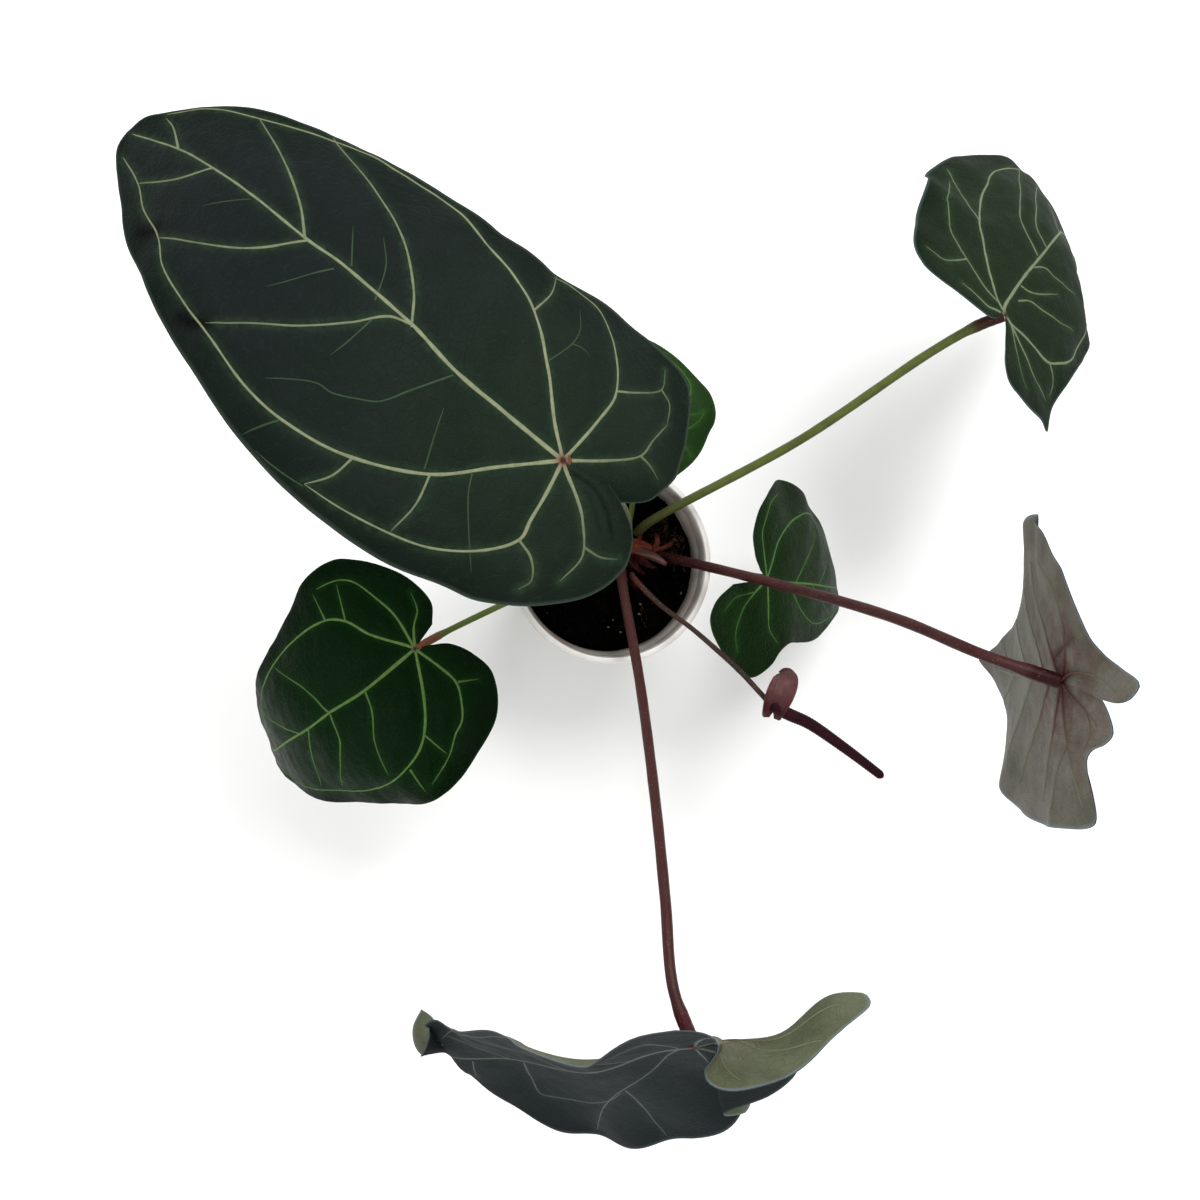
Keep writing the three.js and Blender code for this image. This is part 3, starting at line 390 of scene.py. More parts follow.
class Sheet:
    """Bends the flat leaf: at(uv) gives points, and raised(uv, height) points above them."""

    def __init__(self, leaf):
        rows = np.array(leaf["rib"], float)
        self.points, self.turns = rows[:, :3], np.radians(rows[:, 3:])
        stations = running_length(self.points)
        for _ in range(3):
            fine = np.linspace(0, stations[-1], 1201)
            lengths = running_length(smooth_through(stations, self.points, fine))
            stations = np.interp(stations, fine, lengths)
        self.stations = stations - stations[leaf["hub"]]
        self.facing = np.array(leaf["facing"], float)
        self.half, self.lap = leaf["half"], leaf.get("lap")

    def at(self, uv):
        u, v = uv[..., 0], uv[..., 1]
        lift = np.zeros_like(u)
        if self.lap:
            reach, slide, rise = self.lap
            share = np.where((v > 0) & (u < 0), np.minimum(-u / reach, 1), 0)
            v = v - slide * share**2 * (3 - 2 * share)
            lift = rise * share
        first, last = self.stations[0], self.stations[-1]
        inside = np.clip(u, first + 0.5, last - 0.5)
        ahead = smooth_through(self.stations, self.points, inside + 0.5)
        along = unit(ahead - smooth_through(self.stations, self.points, inside - 0.5))
        beyond = np.minimum(u - first, 0) + np.maximum(u - last, 0)
        centre = smooth_through(self.stations, self.points, u) + along * beyond[..., None]
        flat_up = unit(self.facing - (along @ self.facing)[..., None] * along)
        flat_left = np.cross(flat_up, along)
        turns = smooth_through(self.stations, self.turns, u)
        roll = turns[..., :1]
        left = flat_left * np.cos(roll) + flat_up * np.sin(roll)
        up = np.cross(along, left)
        is_left = v >= 0
        side = np.where(is_left, 1.0, -1.0)
        reach = np.abs(v)
        fold = np.where(is_left, turns[..., 1], turns[..., 2])
        curl = np.where(is_left, turns[..., 3], turns[..., 4]) / self.half
        bend = np.where(np.abs(curl) < 1e-6, 1e-6, curl)
        out = (np.sin(fold + bend * reach) - np.sin(fold)) / bend
        rise = (np.cos(fold) - np.cos(fold + bend * reach)) / bend
        wave = WAVE_HEIGHT * np.minimum(reach / self.half, 1.1) ** 3
        wave = wave * np.sin(2 * np.pi * u / WAVE_LENGTH + side)
        return centre + left * (side * out)[..., None] + up * (rise + wave + lift)[..., None]

    def raised(self, uv, height):
        step = 0.4
        side = np.where(uv[..., 1] >= 0, 1.0, -1.0)
        base = np.where(np.abs(uv[..., 1]) < step, side * step, uv[..., 1])
        near = np.stack([uv[..., 0], base], axis=-1)
        along = self.at(uv + [step, 0]) - self.at(uv - [step, 0])
        across = self.at(near + [0, 0.9 * step]) - self.at(near - [0, 0.9 * step])
        normal = unit(np.cross(along, across))
        return self.at(uv) + normal * np.asarray(height)[..., None]


sheets = {name: Sheet(leaf) for name, leaf in LEAVES.items()}
for name, sheet in sheets.items():
    print(name, "midrib", round(float(sheet.stations[-1] - sheet.stations[0])), "mm")

# %% [markdown]
# ## The net of a blade
# The net has rows that fan out from the stalk over the two back lobes, and then rows that step
# along the midrib. Each row is cut into the same number of pieces, so a blade is made of strips
# of small quadrilaterals that run from midrib to edge, which is also how the tissue grows.

# %% Net
FAN_ENDS = 75


def blade_net(leaf, lobe_rows, forward_rows, pieces):
    """Flat points, triangles, the two edge loops, and each point's distance from the edge."""
    flat, from_edge, triangles, loops = [], [], [], []

    def add(point, distance):
        flat.append(point)
        from_edge.append(distance)
        return len(flat) - 1

    tip_u = leaf["left"][-1][0]
    midrib = [add((tip_u * k / forward_rows, 0.0), leaf["half"]) for k in range(forward_rows)]
    tip = add((tip_u, 0.0), 0)
    for side, sign in (("left", 1), ("right", -1)):
        margin = even_points(leaf[side], 600)
        margin[:, 1] = np.abs(margin[:, 1]) * sign
        lengths = running_length(margin)
        angles = np.degrees(np.arctan2(np.abs(margin[:, 1]), margin[:, 0]))
        bend = lengths[np.argmax(angles < FAN_ENDS)]
        ends = [(0, bend * k / lobe_rows) for k in range(lobe_rows + 1)]
        ends += [(k, bend + (lengths[-1] - bend) * k / forward_rows) for k in range(1, forward_rows)]
        rows = []
        for start, length in ends:
            a = np.array(flat[midrib[start]])
            b = np.array([np.interp(length, lengths, margin[:, axis]) for axis in (0, 1)])
            size = np.linalg.norm(b - a)
            shares = np.arange(1, pieces + 1) / pieces
            rows.append([midrib[start]] + [add(tuple(a + (b - a) * s), size * (1 - s)) for s in shares])
        rows.append([tip] * (pieces + 1))
        for before, after in zip(rows, rows[1:]):
            for j in range(pieces):
                for corners in ((before[j], before[j + 1], after[j + 1]), (before[j], after[j + 1], after[j])):
                    if len(set(corners)) == 3:
                        triangles.append(corners if sign < 0 else corners[::-1])
        loop = rows[0] + [row[-1] for row in rows[1:-1]] + [tip]
        loops.append(loop if sign > 0 else loop[::-1])
    return np.array(flat), np.array(triangles), loops, np.array(from_edge)


# %% [markdown]
# ## Veins
# Anthurium veins start at the stalk: one midrib, two or three basal veins in each lobe, and
# laterals that leave the midrib and meet in a collective vein inside the edge. The lines here
# were followed in the photograph and laid back on the flat leaf, as places in mm along the
# midrib and out from it. A leaf whose veins can't be seen borrows a pattern, given as shares of
# its own length and width. Two short tables add what only the largest blade is near enough to
# show: its faintest veins, and the dimples and creases beside them, which are sunk and painted
# with shade.

# %% Vein tables
VEINS = {
    "north_west": [
        "0,0 35,0 60,0 84,-3 98,-3 126,-2 145,0 180,0 207,0 234,-1 267,0",
        "0,0 21,20 42,41 70,56 97,63 119,63 148,58 170,54 192,48 207,39 229,31 243,21 263,12",
        "207,0 220,12 243,21", "144,0 159,18 180,30 207,39", "86,-3 95,1 104,14 117,29 134,42 153,55",
        "69,55 71,67 77,77", "42,41 39,55 40,70",
        "0,0 -2,17 -3,30 -4,40 6,53 23,65 40,71 58,75 77,77", "-4,40 -12,45 -18,54 -16,60",
        "0,0 -13,12 -26,26 -30,34 -28,47", "-28,29 -37,28 -44,24",
        "85,-2 96,-15 118,-30 145,-40 178,-47 184,-49", "146,0 160,-10 182,-21 212,-33",
        "233,-1 246,-10 254,-13",
        "0,0 13,-12 27,-29 47,-49 69,-57 94,-61 123,-64 149,-58 170,-53 195,-41 212,-33 233,-27 255,-15",
        "47,-49 44,-65 46,-77", "0,0 -4,-26 -5,-44 6,-66 19,-77 37,-79 47,-75",
        "-5,-45 -15,-53 -25,-64 -23,-77", "0,0 -18,-14 -30,-26 -32,-37 -35,-49", "-30,-26 -36,-25 -43,-22",
        "-25,-64 -32,-60 -35,-49",
    ],
    "north_east": [
        "0,0 3,3 17,3 35,2 56,0 76,-2 112,-4 180,-2 235,0 268,0",
        "0,0 3,7 11,15 23,24 39,34 50,41 67,45 83,48 93,49 102,51 112,51 122,49 165,38 200,25 235,12",
        "3,7 4,18 9,28 14,36 20,44 28,52 37,57 44,61 49,64 71,66 79,68", "14,36 5,41 -2,47 -3,53 -3,59",
        "50,41 57,50 72,60 84,69 90,75", "0,0 -4,7 -7,12 -7,18 -7,24 -8,31",
        "63,1 80,20 94,26 108,31 124,38 140,44",
        "76,-2 86,10 102,16 125,24 150,30", "29,1 30,-5 36,-12 50,-22",
        "50,0 59,-7 59,-14 62,-22 64,-27 68,-33",
        "17,-2 24,-8 27,-17 31,-26 34,-32 39,-38 44,-44",
        "0,0 -2,-6 0,-16 2,-27 3,-35 6,-41 13,-47 20,-52 30,-55 41,-55 64,-56 90,-53 120,-45 160,-32"
        " 200,-18 240,-6",
        "0,0 -3,-6 -7,-16 -10,-26 -13,-37 -12,-47 -11,-55", "-3,-6 -12,-15 -19,-23 -25,-32 -26,-37",
        "6,-41 4,-48 0,-53 -6,-55", "112,-4 140,10 170,22", "112,-4 135,-16 165,-26",
    ],
    "south_west": [
        "0,0 19,0 41,0 63,-1 85,0 118,-1 155,0 186,0",
        "0,0 2,-4 14,-23 20,-38 30,-46 54,-49 80,-46 110,-36 140,-24 170,-9",
        "0,0 -4,-22 -2,-38 2,-53 9,-60 22,-64", "30,-46 26,-63", "20,-38 10,-58", "66,-1 71,-20 87,-43",
        "0,0 -8,-10 -16,-16 -20,-26", "66,0 72,18 105,42", "38,0 42,12 52,28 60,50",
        "0,0 15,26 28,42 41,50 64,55 90,52 118,40 150,25 175,10", "28,42 26,60",
        "0,0 -4,18 -5,31 1,43 7,50 15,54 26,62 44,70", "-6,31 -16,38", "47,54 50,72", "87,0 105,18 122,34",
        "97,0 119,-17 135,-26",
    ],
    "south_east": [
        "0,0 22,-1 50,0 93,0 130,0 152,0", "0,0 8,22 17,32 31,41 53,48 80,41 108,27 140,10",
        "0,0 -6,16 -8,30 2,48 16,57", "0,0 3,-23 5,-32 14,-41", "0,0 -10,-10 -18,-22 -20,-38 -14,-50",
        "-10,-10 -26,-16 -34,-26", "20,0 34,-16 56,-26 80,-22 110,-12 140,-4", "30,0 42,16 55,30 60,44",
        "60,0 74,14 92,30", "50,0 64,-10 84,-20",
    ],
    "east": [
        "0,0 30,0 62,0 101,-1 137,-1 161,-1", "0,0 -10,5 -26,9 -44,10 -56,7",
        "0,0 -5,14 -2,30 10,46 27,58 42,64", "0,0 14,16 32,34 49,48 56,62", "20,0 40,18 61,34 69,48",
        "56,0 77,14 96,30", "101,-1 121,9 141,16", "8,12 -8,20 -16,24", "0,0 -12,-6 -26,-12 -36,-18",
        "0,0 -4,-18 -10,-34 -20,-48 -26,-57", "0,0 8,-20 17,-42 22,-62", "14,0 34,-20 52,-40 62,-58",
        "48,0 68,-16 81,-34 85,-45", "95,-1 108,-11 120,-17", "-8,-30 2,-46 4,-64", "-26,-12 -30,-20 -24,-32",
    ],
    "south": [
        "0,0 27,1 67,0 99,0 128,0 160,0 200,0", "10,1 36,17 66,26 92,44 111,65 119,75",
        "68,28 71,45 76,66 78,82", "0,0 -12,10 -20,22 -22,32", "-12,10 -26,12", "0,0 2,30 10,49 33,76",
        "120,2 130,20 135,38 112,44 88,40 71,30", "160,2 165,10 168,17", "0,0 -30,-9 -52,-19 -59,-24",
        "-9,-2 -42,-5 -80,-9", "0,0 -10,-22 -35,-36", "8,0 11,-30 26,-44 48,-52 91,-50 140,-33 170,-18",
        "40,0 58,-18 90,-29 94,-42", "84,0 92,-23 122,-32 134,-42", "128,0 140,-12 166,-21",
    ],
}
FAINT_VEINS = {
    "north_west": [
        "59,2 69,20 75,31 82,36 90,41 96,42 102,46 113,55", "29,-33 24,-48 24,-58 28,-67",
        "24,-48 18,-50 14,-49", "126,2 136,20 141,27", "99,6 99,21 100,30", "179,2 194,17",
        "122,-4 136,-18", "98,64 103,74 105,79", "29,29 24,39 4,63", "77,78 83,79 91,80 97,80",
        "104,0 112,-14 124,-24", "45,41 50,28 54,16",
    ],
}
# Creases and dimples: each line with its width and depth. They are sunk into the blade and painted with shade.
SHADED_CREASES = {
    "north_west": [
        ("212,36 218,40 223,41", 4.0, 1.0), ("152,55 158,58 165,60", 3.5, 1.0),
        ("-2,2 -16,5 -27,10 -36,18", 1.2, 0.6), ("-6,5 -18,10 -30,19", 1.0, 0.35),
    ],
}
BORROWED = [
    ".0,0 .2,0 .5,0 .8,0 .96,0",
    "0,0 .08,.22 .17,.47 .28,.66 .4,.73 .52,.69 .64,.56 .74,.41 .84,.23 .91,.08",
    "0,0 -.04,.2 -.07,.38 .02,.6 .1,.78 .18,.86", "0,0 -.3,.14 -.6,.34 -.66,.48",
    "-.3,.14 -.6,.16 -.8,.22", ".28,0 .34,.22 .43,.44 .53,.68", ".48,0 .55,.2 .65,.4 .73,.5",
    ".7,0 .77,.14 .85,.28", ".17,.47 .16,.66 .17,.8", "-.05,.42 -.45,.56 -.7,.62",
]


# %% Vein lines
VEIN_STEP = 1.5


def flat_line(text):
    return np.array([point.split(",") for point in text.split()], float)


def evenly(line):
    """A smooth line with a point every VEIN_STEP."""
    return even_points(line, max(4, int(running_length(line)[-1] / VEIN_STEP)))


def vein_lines(name):
    """The leaf's veins as smooth lines on the flat leaf."""
    leaf = LEAVES[name]
    lines = [flat_line(line) for line in VEINS.get(name, [])]
    if not lines:
        for side, sign in (("left", 1), ("right", -1)):
            edge = np.array(leaf[side], float)
            tip, back, wide = edge[-1, 0], -edge[:, 0].min(), edge[:, 1].max()
            for k, line in enumerate(BORROWED):
                points = flat_line(line)
                points[:, 0] *= np.where(points[:, 0] > 0, tip, back)
                points[:, 1] *= wide * sign
                if k or sign > 0:
                    lines.append(points)
    return [evenly(line) for line in lines]


def distance_to(lines, flat, batch=4000):
    """The distance of each flat point from the nearest line, in mm, worked out a batch at a time."""
    nearest = np.full(len(flat), 1e9)
    for line in lines:
        for start in range(0, len(flat), batch):
            part = slice(start, start + batch)
            gap = flat[part, None, :] - line[None, :, :]
            nearest[part] = np.minimum(nearest[part], np.sqrt((gap**2).sum(-1)).min(1))
    return nearest


def crease_depth_and_shade(name, flat):
    """1 in the creases and dimples of a blade, 0 away from them: they are sunk, and painted with shade."""
    dark = np.zeros(len(flat))
    for line, wide, depth in SHADED_CREASES.get(name, []):
        gap = distance_to([evenly(flat_line(line))], flat)
        dark = np.maximum(dark, depth * np.exp(-((gap / wide) ** 2)))
    return dark


veins = {name: vein_lines(name) for name in LEAVES}
faint_veins = {name: [evenly(flat_line(line)) for line in FAINT_VEINS.get(name, [])] for name in LEAVES}
for name, lines in veins.items():
    print(name, round(sum(running_length(line)[-1] for line in lines)), "mm of vein")

# %% [markdown]
# A vein is drawn as a narrow domed ribbon that follows its line on the sheet and whose edges
# sink into the blade. A painted line would be cheaper, but it would be as coarse as the net, and
# the real veins stand out crisp and a little proud. The width wanders with seeded noise.

# %% Ribbons
ACROSS = np.array([-1, -0.55, 0, 0.55, 1])
COLUMNS = len(ACROSS)
ROUGHNESS, ROUGH_STEPS, TAPER_LENGTH, SUNK_SHARE = 0.16, 3, 8, 0.25


def ribbons(sheet, lines, widths, dome, base, seed):
    """Domed strips on the sheet. base is the height of the surface under them."""
    rng = np.random.default_rng(seed)
    points, faces, flats, shares = [], [], [], []
    count = 0
    for line, (wide, narrow) in zip(lines, widths):
        steps = len(line)
        along = unit(np.gradient(line, axis=0))
        sideways = np.stack([-along[:, 1], along[:, 0]], 1)
        share = np.linspace(0, 1, steps)
        knots = np.arange(0, steps + ROUGH_STEPS, ROUGH_STEPS)
        rough = np.interp(np.arange(steps), knots, 1 + rng.uniform(-ROUGHNESS, ROUGHNESS, len(knots)))
        width = (wide + (narrow - wide) * share**0.8) * rough
        width *= np.minimum(1, 0.45 + (1 - share) * steps * VEIN_STEP / TAPER_LENGTH)
        flat = line[:, None, :] + sideways[:, None, :] * (ACROSS[None, :, None] * width[:, None, None] / 2)
        crown = (1 - ACROSS**2)[None, :] * (0.5 + 0.5 * width / wide)[:, None]
        profile = dome * (crown - SUNK_SHARE * (np.abs(ACROSS) == 1))
        height = base(flat.reshape(-1, 2)).reshape(steps, COLUMNS) + profile
        points.append(sheet.raised(flat, height).reshape(-1, 3))
        grid = count + np.arange(steps * COLUMNS).reshape(steps, COLUMNS)
        quads = np.stack([grid[:-1, :-1], grid[1:, :-1], grid[1:, 1:], grid[:-1, 1:]], -1).reshape(-1, 4)
        faces.append(quads if dome < 0 else quads[:, ::-1])
        flats.append(flat.reshape(-1, 2))
        shares.append(np.repeat(share, COLUMNS))
        count += steps * COLUMNS
    return [np.concatenate(parts) for parts in (points, faces, flats, shares)]


# %% Vein widths
MIDRIB, BASAL_VEIN, SIDE_VEIN, FAINT_VEIN = (2.5, 1.0), (2.1, 0.8), (1.5, 0.8), (0.9, 0.5)


def starts_at_stalk(line, reach=4):
    return np.linalg.norm(line[0]) < reach


def vein_widths(lines, scale):
    """Widths at the start and end of each vein. The first line of a leaf is its midrib."""
    basal = [BASAL_VEIN if starts_at_stalk(line) else SIDE_VEIN for line in lines[1:]]
    return [(start * scale, end * scale) for start, end in [MIDRIB, *basal]]


# %% [markdown]
# ## Velvet
# The blade's upper skin is covered with tiny cone shaped cells that catch light, so it looks
# like dark velvet: almost no gloss, deep colour face on, and a faint bloom at a low angle. The
# sheen of the Principled shader does just that. On top of it the colour changes slowly over the
# blade, grows paler beside the veins, and a fine net of small veins shows as relief. Light and
# shade are painted into the colour too: a greyer tone toward the tip as painted sheen, painted
# shade along the edges where the blade turns down and in its creases and dimples, and a painted
# highlight on the cut edge.

# %% Leaf finishes
def leaf_grid(tree):
    return put(tree, "UVMap", uv_map="flat_leaf").outputs["UV"]


def fine_net(tree):
    """The mesh of the smallest veins, 1 on a vein and 0 between."""
    warp = put(tree, "TexNoise", {"Vector": leaf_grid(tree), "Scale": 14.0, "Detail": 2.0}).outputs["Color"]
    moved = put(tree, "MixRGB", {0: 0.06, 1: leaf_grid(tree), 2: warp}, blend_type="ADD").outputs[0]
    cells = put(tree, "TexVoronoi", {"Vector": moved, "Scale": 26.0}, feature="DISTANCE_TO_EDGE")
    return ranged(tree, cells.outputs["Distance"], 0.0, 0.09, 1.0, 0.0)


def velvet(name, face, tip_tone_and_sheen, margin, beside_vein, rim, gloss):
    """The upper skin. face turns to a greyer tone toward the tip, a painted sheen; margin darkens random
    patches and is the painted shade along the edges; rim is a painted highlight on the cut edge; gloss is its
    middle roughness.
    """

    def colour(tree):
        patches = ranged(tree, noise(tree, 28, 4), 0.35, 0.7)
        # painted sheen: toward the tip the face turns to a greyer tone
        tone = mixed(tree, ranged(tree, attribute(tree, "from_hub"), 0.1, 0.55), face, tip_tone_and_sheen)
        # painted shade: the blade darkens toward its edges, where it turns down away from the light
        outer = times(tree, attribute(tree, "outer"), ranged(tree, noise(tree, 35, 3), 0.3, 0.65, 0.4, 1.0))
        tone = mixed(tree, outer, tone, margin)
        tone = mixed(tree, times(tree, patches, 0.3), tone, margin)
        tone = mixed(tree, times(tree, fine_net(tree), 0.07), tone, beside_vein)
        glow = times(tree, attribute(tree, "vein_near"), ranged(tree, noise(tree, 4, 5), 0.3, 0.7, 0.15, 0.6))
        tone = mixed(tree, glow, tone, beside_vein)
        # painted shade: the creases and dimples are painted near black
        tone = mixed(tree, times(tree, attribute(tree, "dark"), 0.97), tone, "010302")
        # painted highlight: a paler, bluish tone along the cut edge
        return mixed(tree, times(tree, attribute(tree, "edge_near"), 0.6), tone, rim)

    def height(tree):
        skin = times(tree, noise(tree, 0.5, 2), 0.35)
        pucker = times(tree, noise(tree, 7, 3), 1.3)
        return plus(tree, plus(tree, skin, pucker), times(tree, fine_net(tree), -0.5))

    def roughness(tree):
        return ranged(tree, noise(tree, 12, 3), 0.2, 0.8, gloss - 0.07, gloss + 0.08)

    return finish_of(
        name, colour, roughness, height, 0.35,
        Specular_IOR_Level=0.035, Sheen_Weight=0.02, Sheen_Roughness=0.4, Sheen_Tint=linear("b9c8c4"),
    )


def underside(name, face, patch, rim, flush, heart, reach):
    """The pale back of a blade. The red flush spreads over reach from the dark heart at the stalk."""

    def colour(tree):
        away = attribute(tree, "from_hub")
        tone = mixed(tree, ranged(tree, noise(tree, 22, 4), 0.3, 0.75), face, patch)
        tone = mixed(tree, times(tree, fine_net(tree), 0.22), tone, patch)
        near_stalk = ranged(tree, away, 0.0, reach, 0.7, 0.0)
        tone = mixed(tree, times(tree, near_stalk, ranged(tree, noise(tree, 9, 4), 0.3, 0.7)), tone, flush)
        star = times(tree, attribute(tree, "vein_near"), ranged(tree, away, 0.02, reach / 2, 1.0, 0.0))
        tone = mixed(tree, star, tone, heart)
        tone = mixed(tree, ranged(tree, away, 0.0, reach / 4, 0.9, 0.0), tone, heart)
        # painted highlight: a paler, bluish tone along the cut edge of the back
        return mixed(tree, times(tree, attribute(tree, "edge_near"), 0.7), tone, rim)

    def height(tree):
        return plus(tree, noise(tree, 5, 3), times(tree, fine_net(tree), 0.6))

    return finish_of(name, colour, 0.5, height, 0.3, Specular_IOR_Level=0.15)


def vein_finish(name, core, border, faded, flush, reach, heart):
    """The pale vein itself. It fades along its way, and is stained where the stalk meets it."""

    def colour(tree):
        away = attribute(tree, "from_hub")
        tone = mixed(tree, ranged(tree, noise(tree, 3, 4), 0.3, 0.8, 0.0, 0.5), core, border)
        tone = mixed(tree, ranged(tree, attribute(tree, "vein_edge"), 0.3, 1.0), tone, border)
        tone = mixed(tree, attribute(tree, "faded"), tone, faded)
        tone = mixed(tree, ranged(tree, away, 0.0, reach, 0.9, 0.0), tone, flush)
        return mixed(tree, ranged(tree, away, 0.003, 0.009, 0.9, 0.0), tone, heart)

    return finish_of(name, colour, 0.5, lambda tree: noise(tree, 0.8, 3), 0.12, Specular_IOR_Level=0.06)


# far is the tip tone, a painted sheen; margin darkens random patches and is the painted shade along the edges;
# rim is the painted highlight on the cut edge.
LOOK_PARTS = ("face", "far", "margin", "beside", "rim", "core", "border", "hub", "gloss")
LOOKS = {
    "north_west": ("172119", "151a1a", "09130c", "2a3b28", "3a463c", "7a7e62", "4a5642", "6a4238", 0.62),
    "north_east": ("172315", "182416", "0c160b", "2c3f25", "4a5c5c", "6a745c", "46563e", "5a6248", 0.62),
    "east": ("111617", "101415", "0c1011", "22292a", "3c484c", "4c5046", "303a32", "3a1418", 0.62),
    "south": ("23292a", "202627", "191e1f", "303636", "4a545a", "585c54", "3e443f", "3a1c20", 0.62),
    "south_west": ("031a03", "031c04", "020f02", "12340e", "0e2a0c", "5c7440", "2c541c", "50603a", 0.4),
    "north": ("1d3314", "1d3314", "142a0c", "284a1e", "28401e", "405c30", "304e22", "4c5a30", 0.45),
    "south_east": ("0d2206", "0d2206", "081a04", "1a3a12", "1a3614", "4c6836", "2a501c", "4c5a30", 0.42),
}
LOOKS = {name: dict(zip(LOOK_PARTS, row)) for name, row in LOOKS.items()}
# The third colour of each back, and of PLAIN_BACK, is the painted highlight on the cut edge.
BACKS = {"east": ("66635a", "4a4a3c", "6c7e86"), "south": ("565b47", "444934", "66767a")}
PLAIN_BACK = ("4c5a3c", "3c4a2e", "5c6650")
RED_FLUSH = {"east": ("4a1418", "22040a", 0.42), "south": ("4a1c20", "2a0810", 0.24)}
RIB_COLOURS = ("737760", "5b604a", "5b604a")
VEIN_FOOT, VEIN_HEART = 0.024, "2c120e"
print(len(LOOKS), "leaf finishes")

# %% [markdown]
# One helper turns arrays into a Blender object. It also rides the piece on the plant's one body
# and hides the solid it replaces. Edges sharper than 50 degrees stay crisp, so the cut edge of a
# blade doesn't smear the shading of its faces.

# %% From arrays to a piece
CRISP_EDGE = 50


def make_piece(name, node, slot, points, faces, materials, slots=None, flat=None, values=None):
    mesh = bpy.data.meshes.new(name)
    mesh.from_pydata((np.asarray(points) * MM).tolist(), [], [list(map(int, face)) for face in faces])
    for material in materials:
        mesh.materials.append(material)
    if slots is not None:
        mesh.polygons.foreach_set("material_index", np.asarray(slots, np.int32))
    if flat is not None:
        corner = np.empty(len(mesh.loops), np.int32)
        mesh.loops.foreach_get("vertex_index", corner)
        layer = mesh.uv_layers.new(name="flat_leaf")
        layer.data.foreach_set("uv", (np.asarray(flat)[corner] / 100).astype(np.float32).ravel())
    for key, data in (values or {}).items():
        mesh.attributes.new(key, "FLOAT", "POINT").data.foreach_set("value", np.asarray(data, np.float32))
    mesh.shade_smooth()
    mesh.set_sharp_from_angle(angle=math.radians(CRISP_EDGE))
    mesh.update()
    piece = bpy.data.objects.new(name, mesh)
    bpy.context.collection.objects.link(piece)
    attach(piece, "root")
    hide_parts(node)
    print(name, len(mesh.polygons), "faces")
    return piece


# %% [markdown]
# ## Blades
# The lamina swells a little between the veins, like a quilt. That height comes from the distance
# to the nearest vein, and is added to both skins, so the blade keeps its thickness. The veins
# show on the back as round ribs, which are ribbons with their dome turned down.

# %% Blades
THICKNESS, LARGEST_HALF = 0.6, 76
QUILT_HEIGHT, QUILT_REACH, SWELL_HEIGHT, SWELL_LENGTH = 0.9, 7.5, 0.05, 26


def quilt(flat, lines, half, seed):
    """How far the lamina stands above the plain sheet, from -0.5 to about 0.5 mm."""
    gap = distance_to(lines, flat)
    rng = np.random.default_rng(seed)
    size = half / LARGEST_HALF
    height = QUILT_HEIGHT * size * (1 - np.exp(-((gap / QUILT_REACH) ** 2))) - QUILT_HEIGHT / 2 * size
    for _ in range(6):
        wave = rng.normal(0, 2 * np.pi / SWELL_LENGTH, 2)
        height += SWELL_HEIGHT * np.sin(flat @ wave + rng.uniform(0, 6.3))
    return height


def vein_fade(lines, places, shares):
    """How far each vein has faded into the blade: side veins and those of the lobes are duller."""
    faded = [0.0 if starts_at_stalk(line) else 0.22 for line in lines]
    own = np.repeat(faded, [COLUMNS * len(line) for line in lines])
    return own + 0.25 * shares + 0.38 * np.clip(-places[:, 0] / 22, 0, 1)


def drawn_in(points, leaf, node):
    """Points drawn a little toward the stalk, where the waved edge would leave the box of its solid."""
    low, high = (np.array(corner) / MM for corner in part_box(node))
    centre = np.array(leaf["petiole"][-1], float)
    away = points - centre
    room = np.where(away < 0, (low - centre) / away.min(0), (high - centre) / away.max(0))
    return centre + away * np.clip(room, 0.95, 1)


def rim_between(loops, count):
    """The cut edge: a strip of quads from each loop to the same loop count points further on."""
    pairs = ((np.array(loop[:-1]), np.array(loop[1:])) for loop in loops)
    return np.concatenate([np.stack([a, b, b + count, a + count], 1) for a, b in pairs])


# %% [markdown]
# One blade is two skins, the cut edge between them, and three layers of ribbons: the veins, the
# ribs below, and the faint veins. Numbers that the finish needs travel with the points: how near
# a point is to a vein, to the edge and to the stalk, how much painted shade its crease gets, and
# how faded its vein. Nearness to the edge also sets the painted shade along the edge and the
# painted highlight on the cut edge. The finish reads them by name, so no picture is painted.

# %% Blade by blade
COARSE_NET, NET, COARSE_BELOW, FULL_VEINS_FROM = (36, 56, 20), (64, 104, 34), 50, 65
GLOW_REACH, RIM_HIGHLIGHT_REACH, EDGE_SHADE_SHARE, CREASE_DEPTH = 2.4, 1.3, 0.35, 0.5
VEIN_DOME, RIB_DOME, FAINT_DOME, RIB_SHARE = 0.22, -0.55, 0.1, 0.75
YOUNG_LEAVES = ("south_west", "north", "south_east")


def leaf_materials(name):
    look = LOOKS[name]
    flush, heart, reach = RED_FLUSH.get(name, (look["hub"], look["hub"], 0.06))
    skin_parts = [look[part] for part in ("face", "far", "margin", "beside", "rim", "gloss")]
    vein_parts = [look[part] for part in ("core", "border", "beside", "hub")]
    return [
        velvet("velvet_" + name, *skin_parts),
        underside("underside_" + name, *BACKS.get(name, PLAIN_BACK), flush, heart, reach),
        vein_finish("vein_" + name, *vein_parts, VEIN_FOOT, VEIN_HEART),
        vein_finish("rib_" + name, *RIB_COLOURS, flush, reach, heart),
    ]


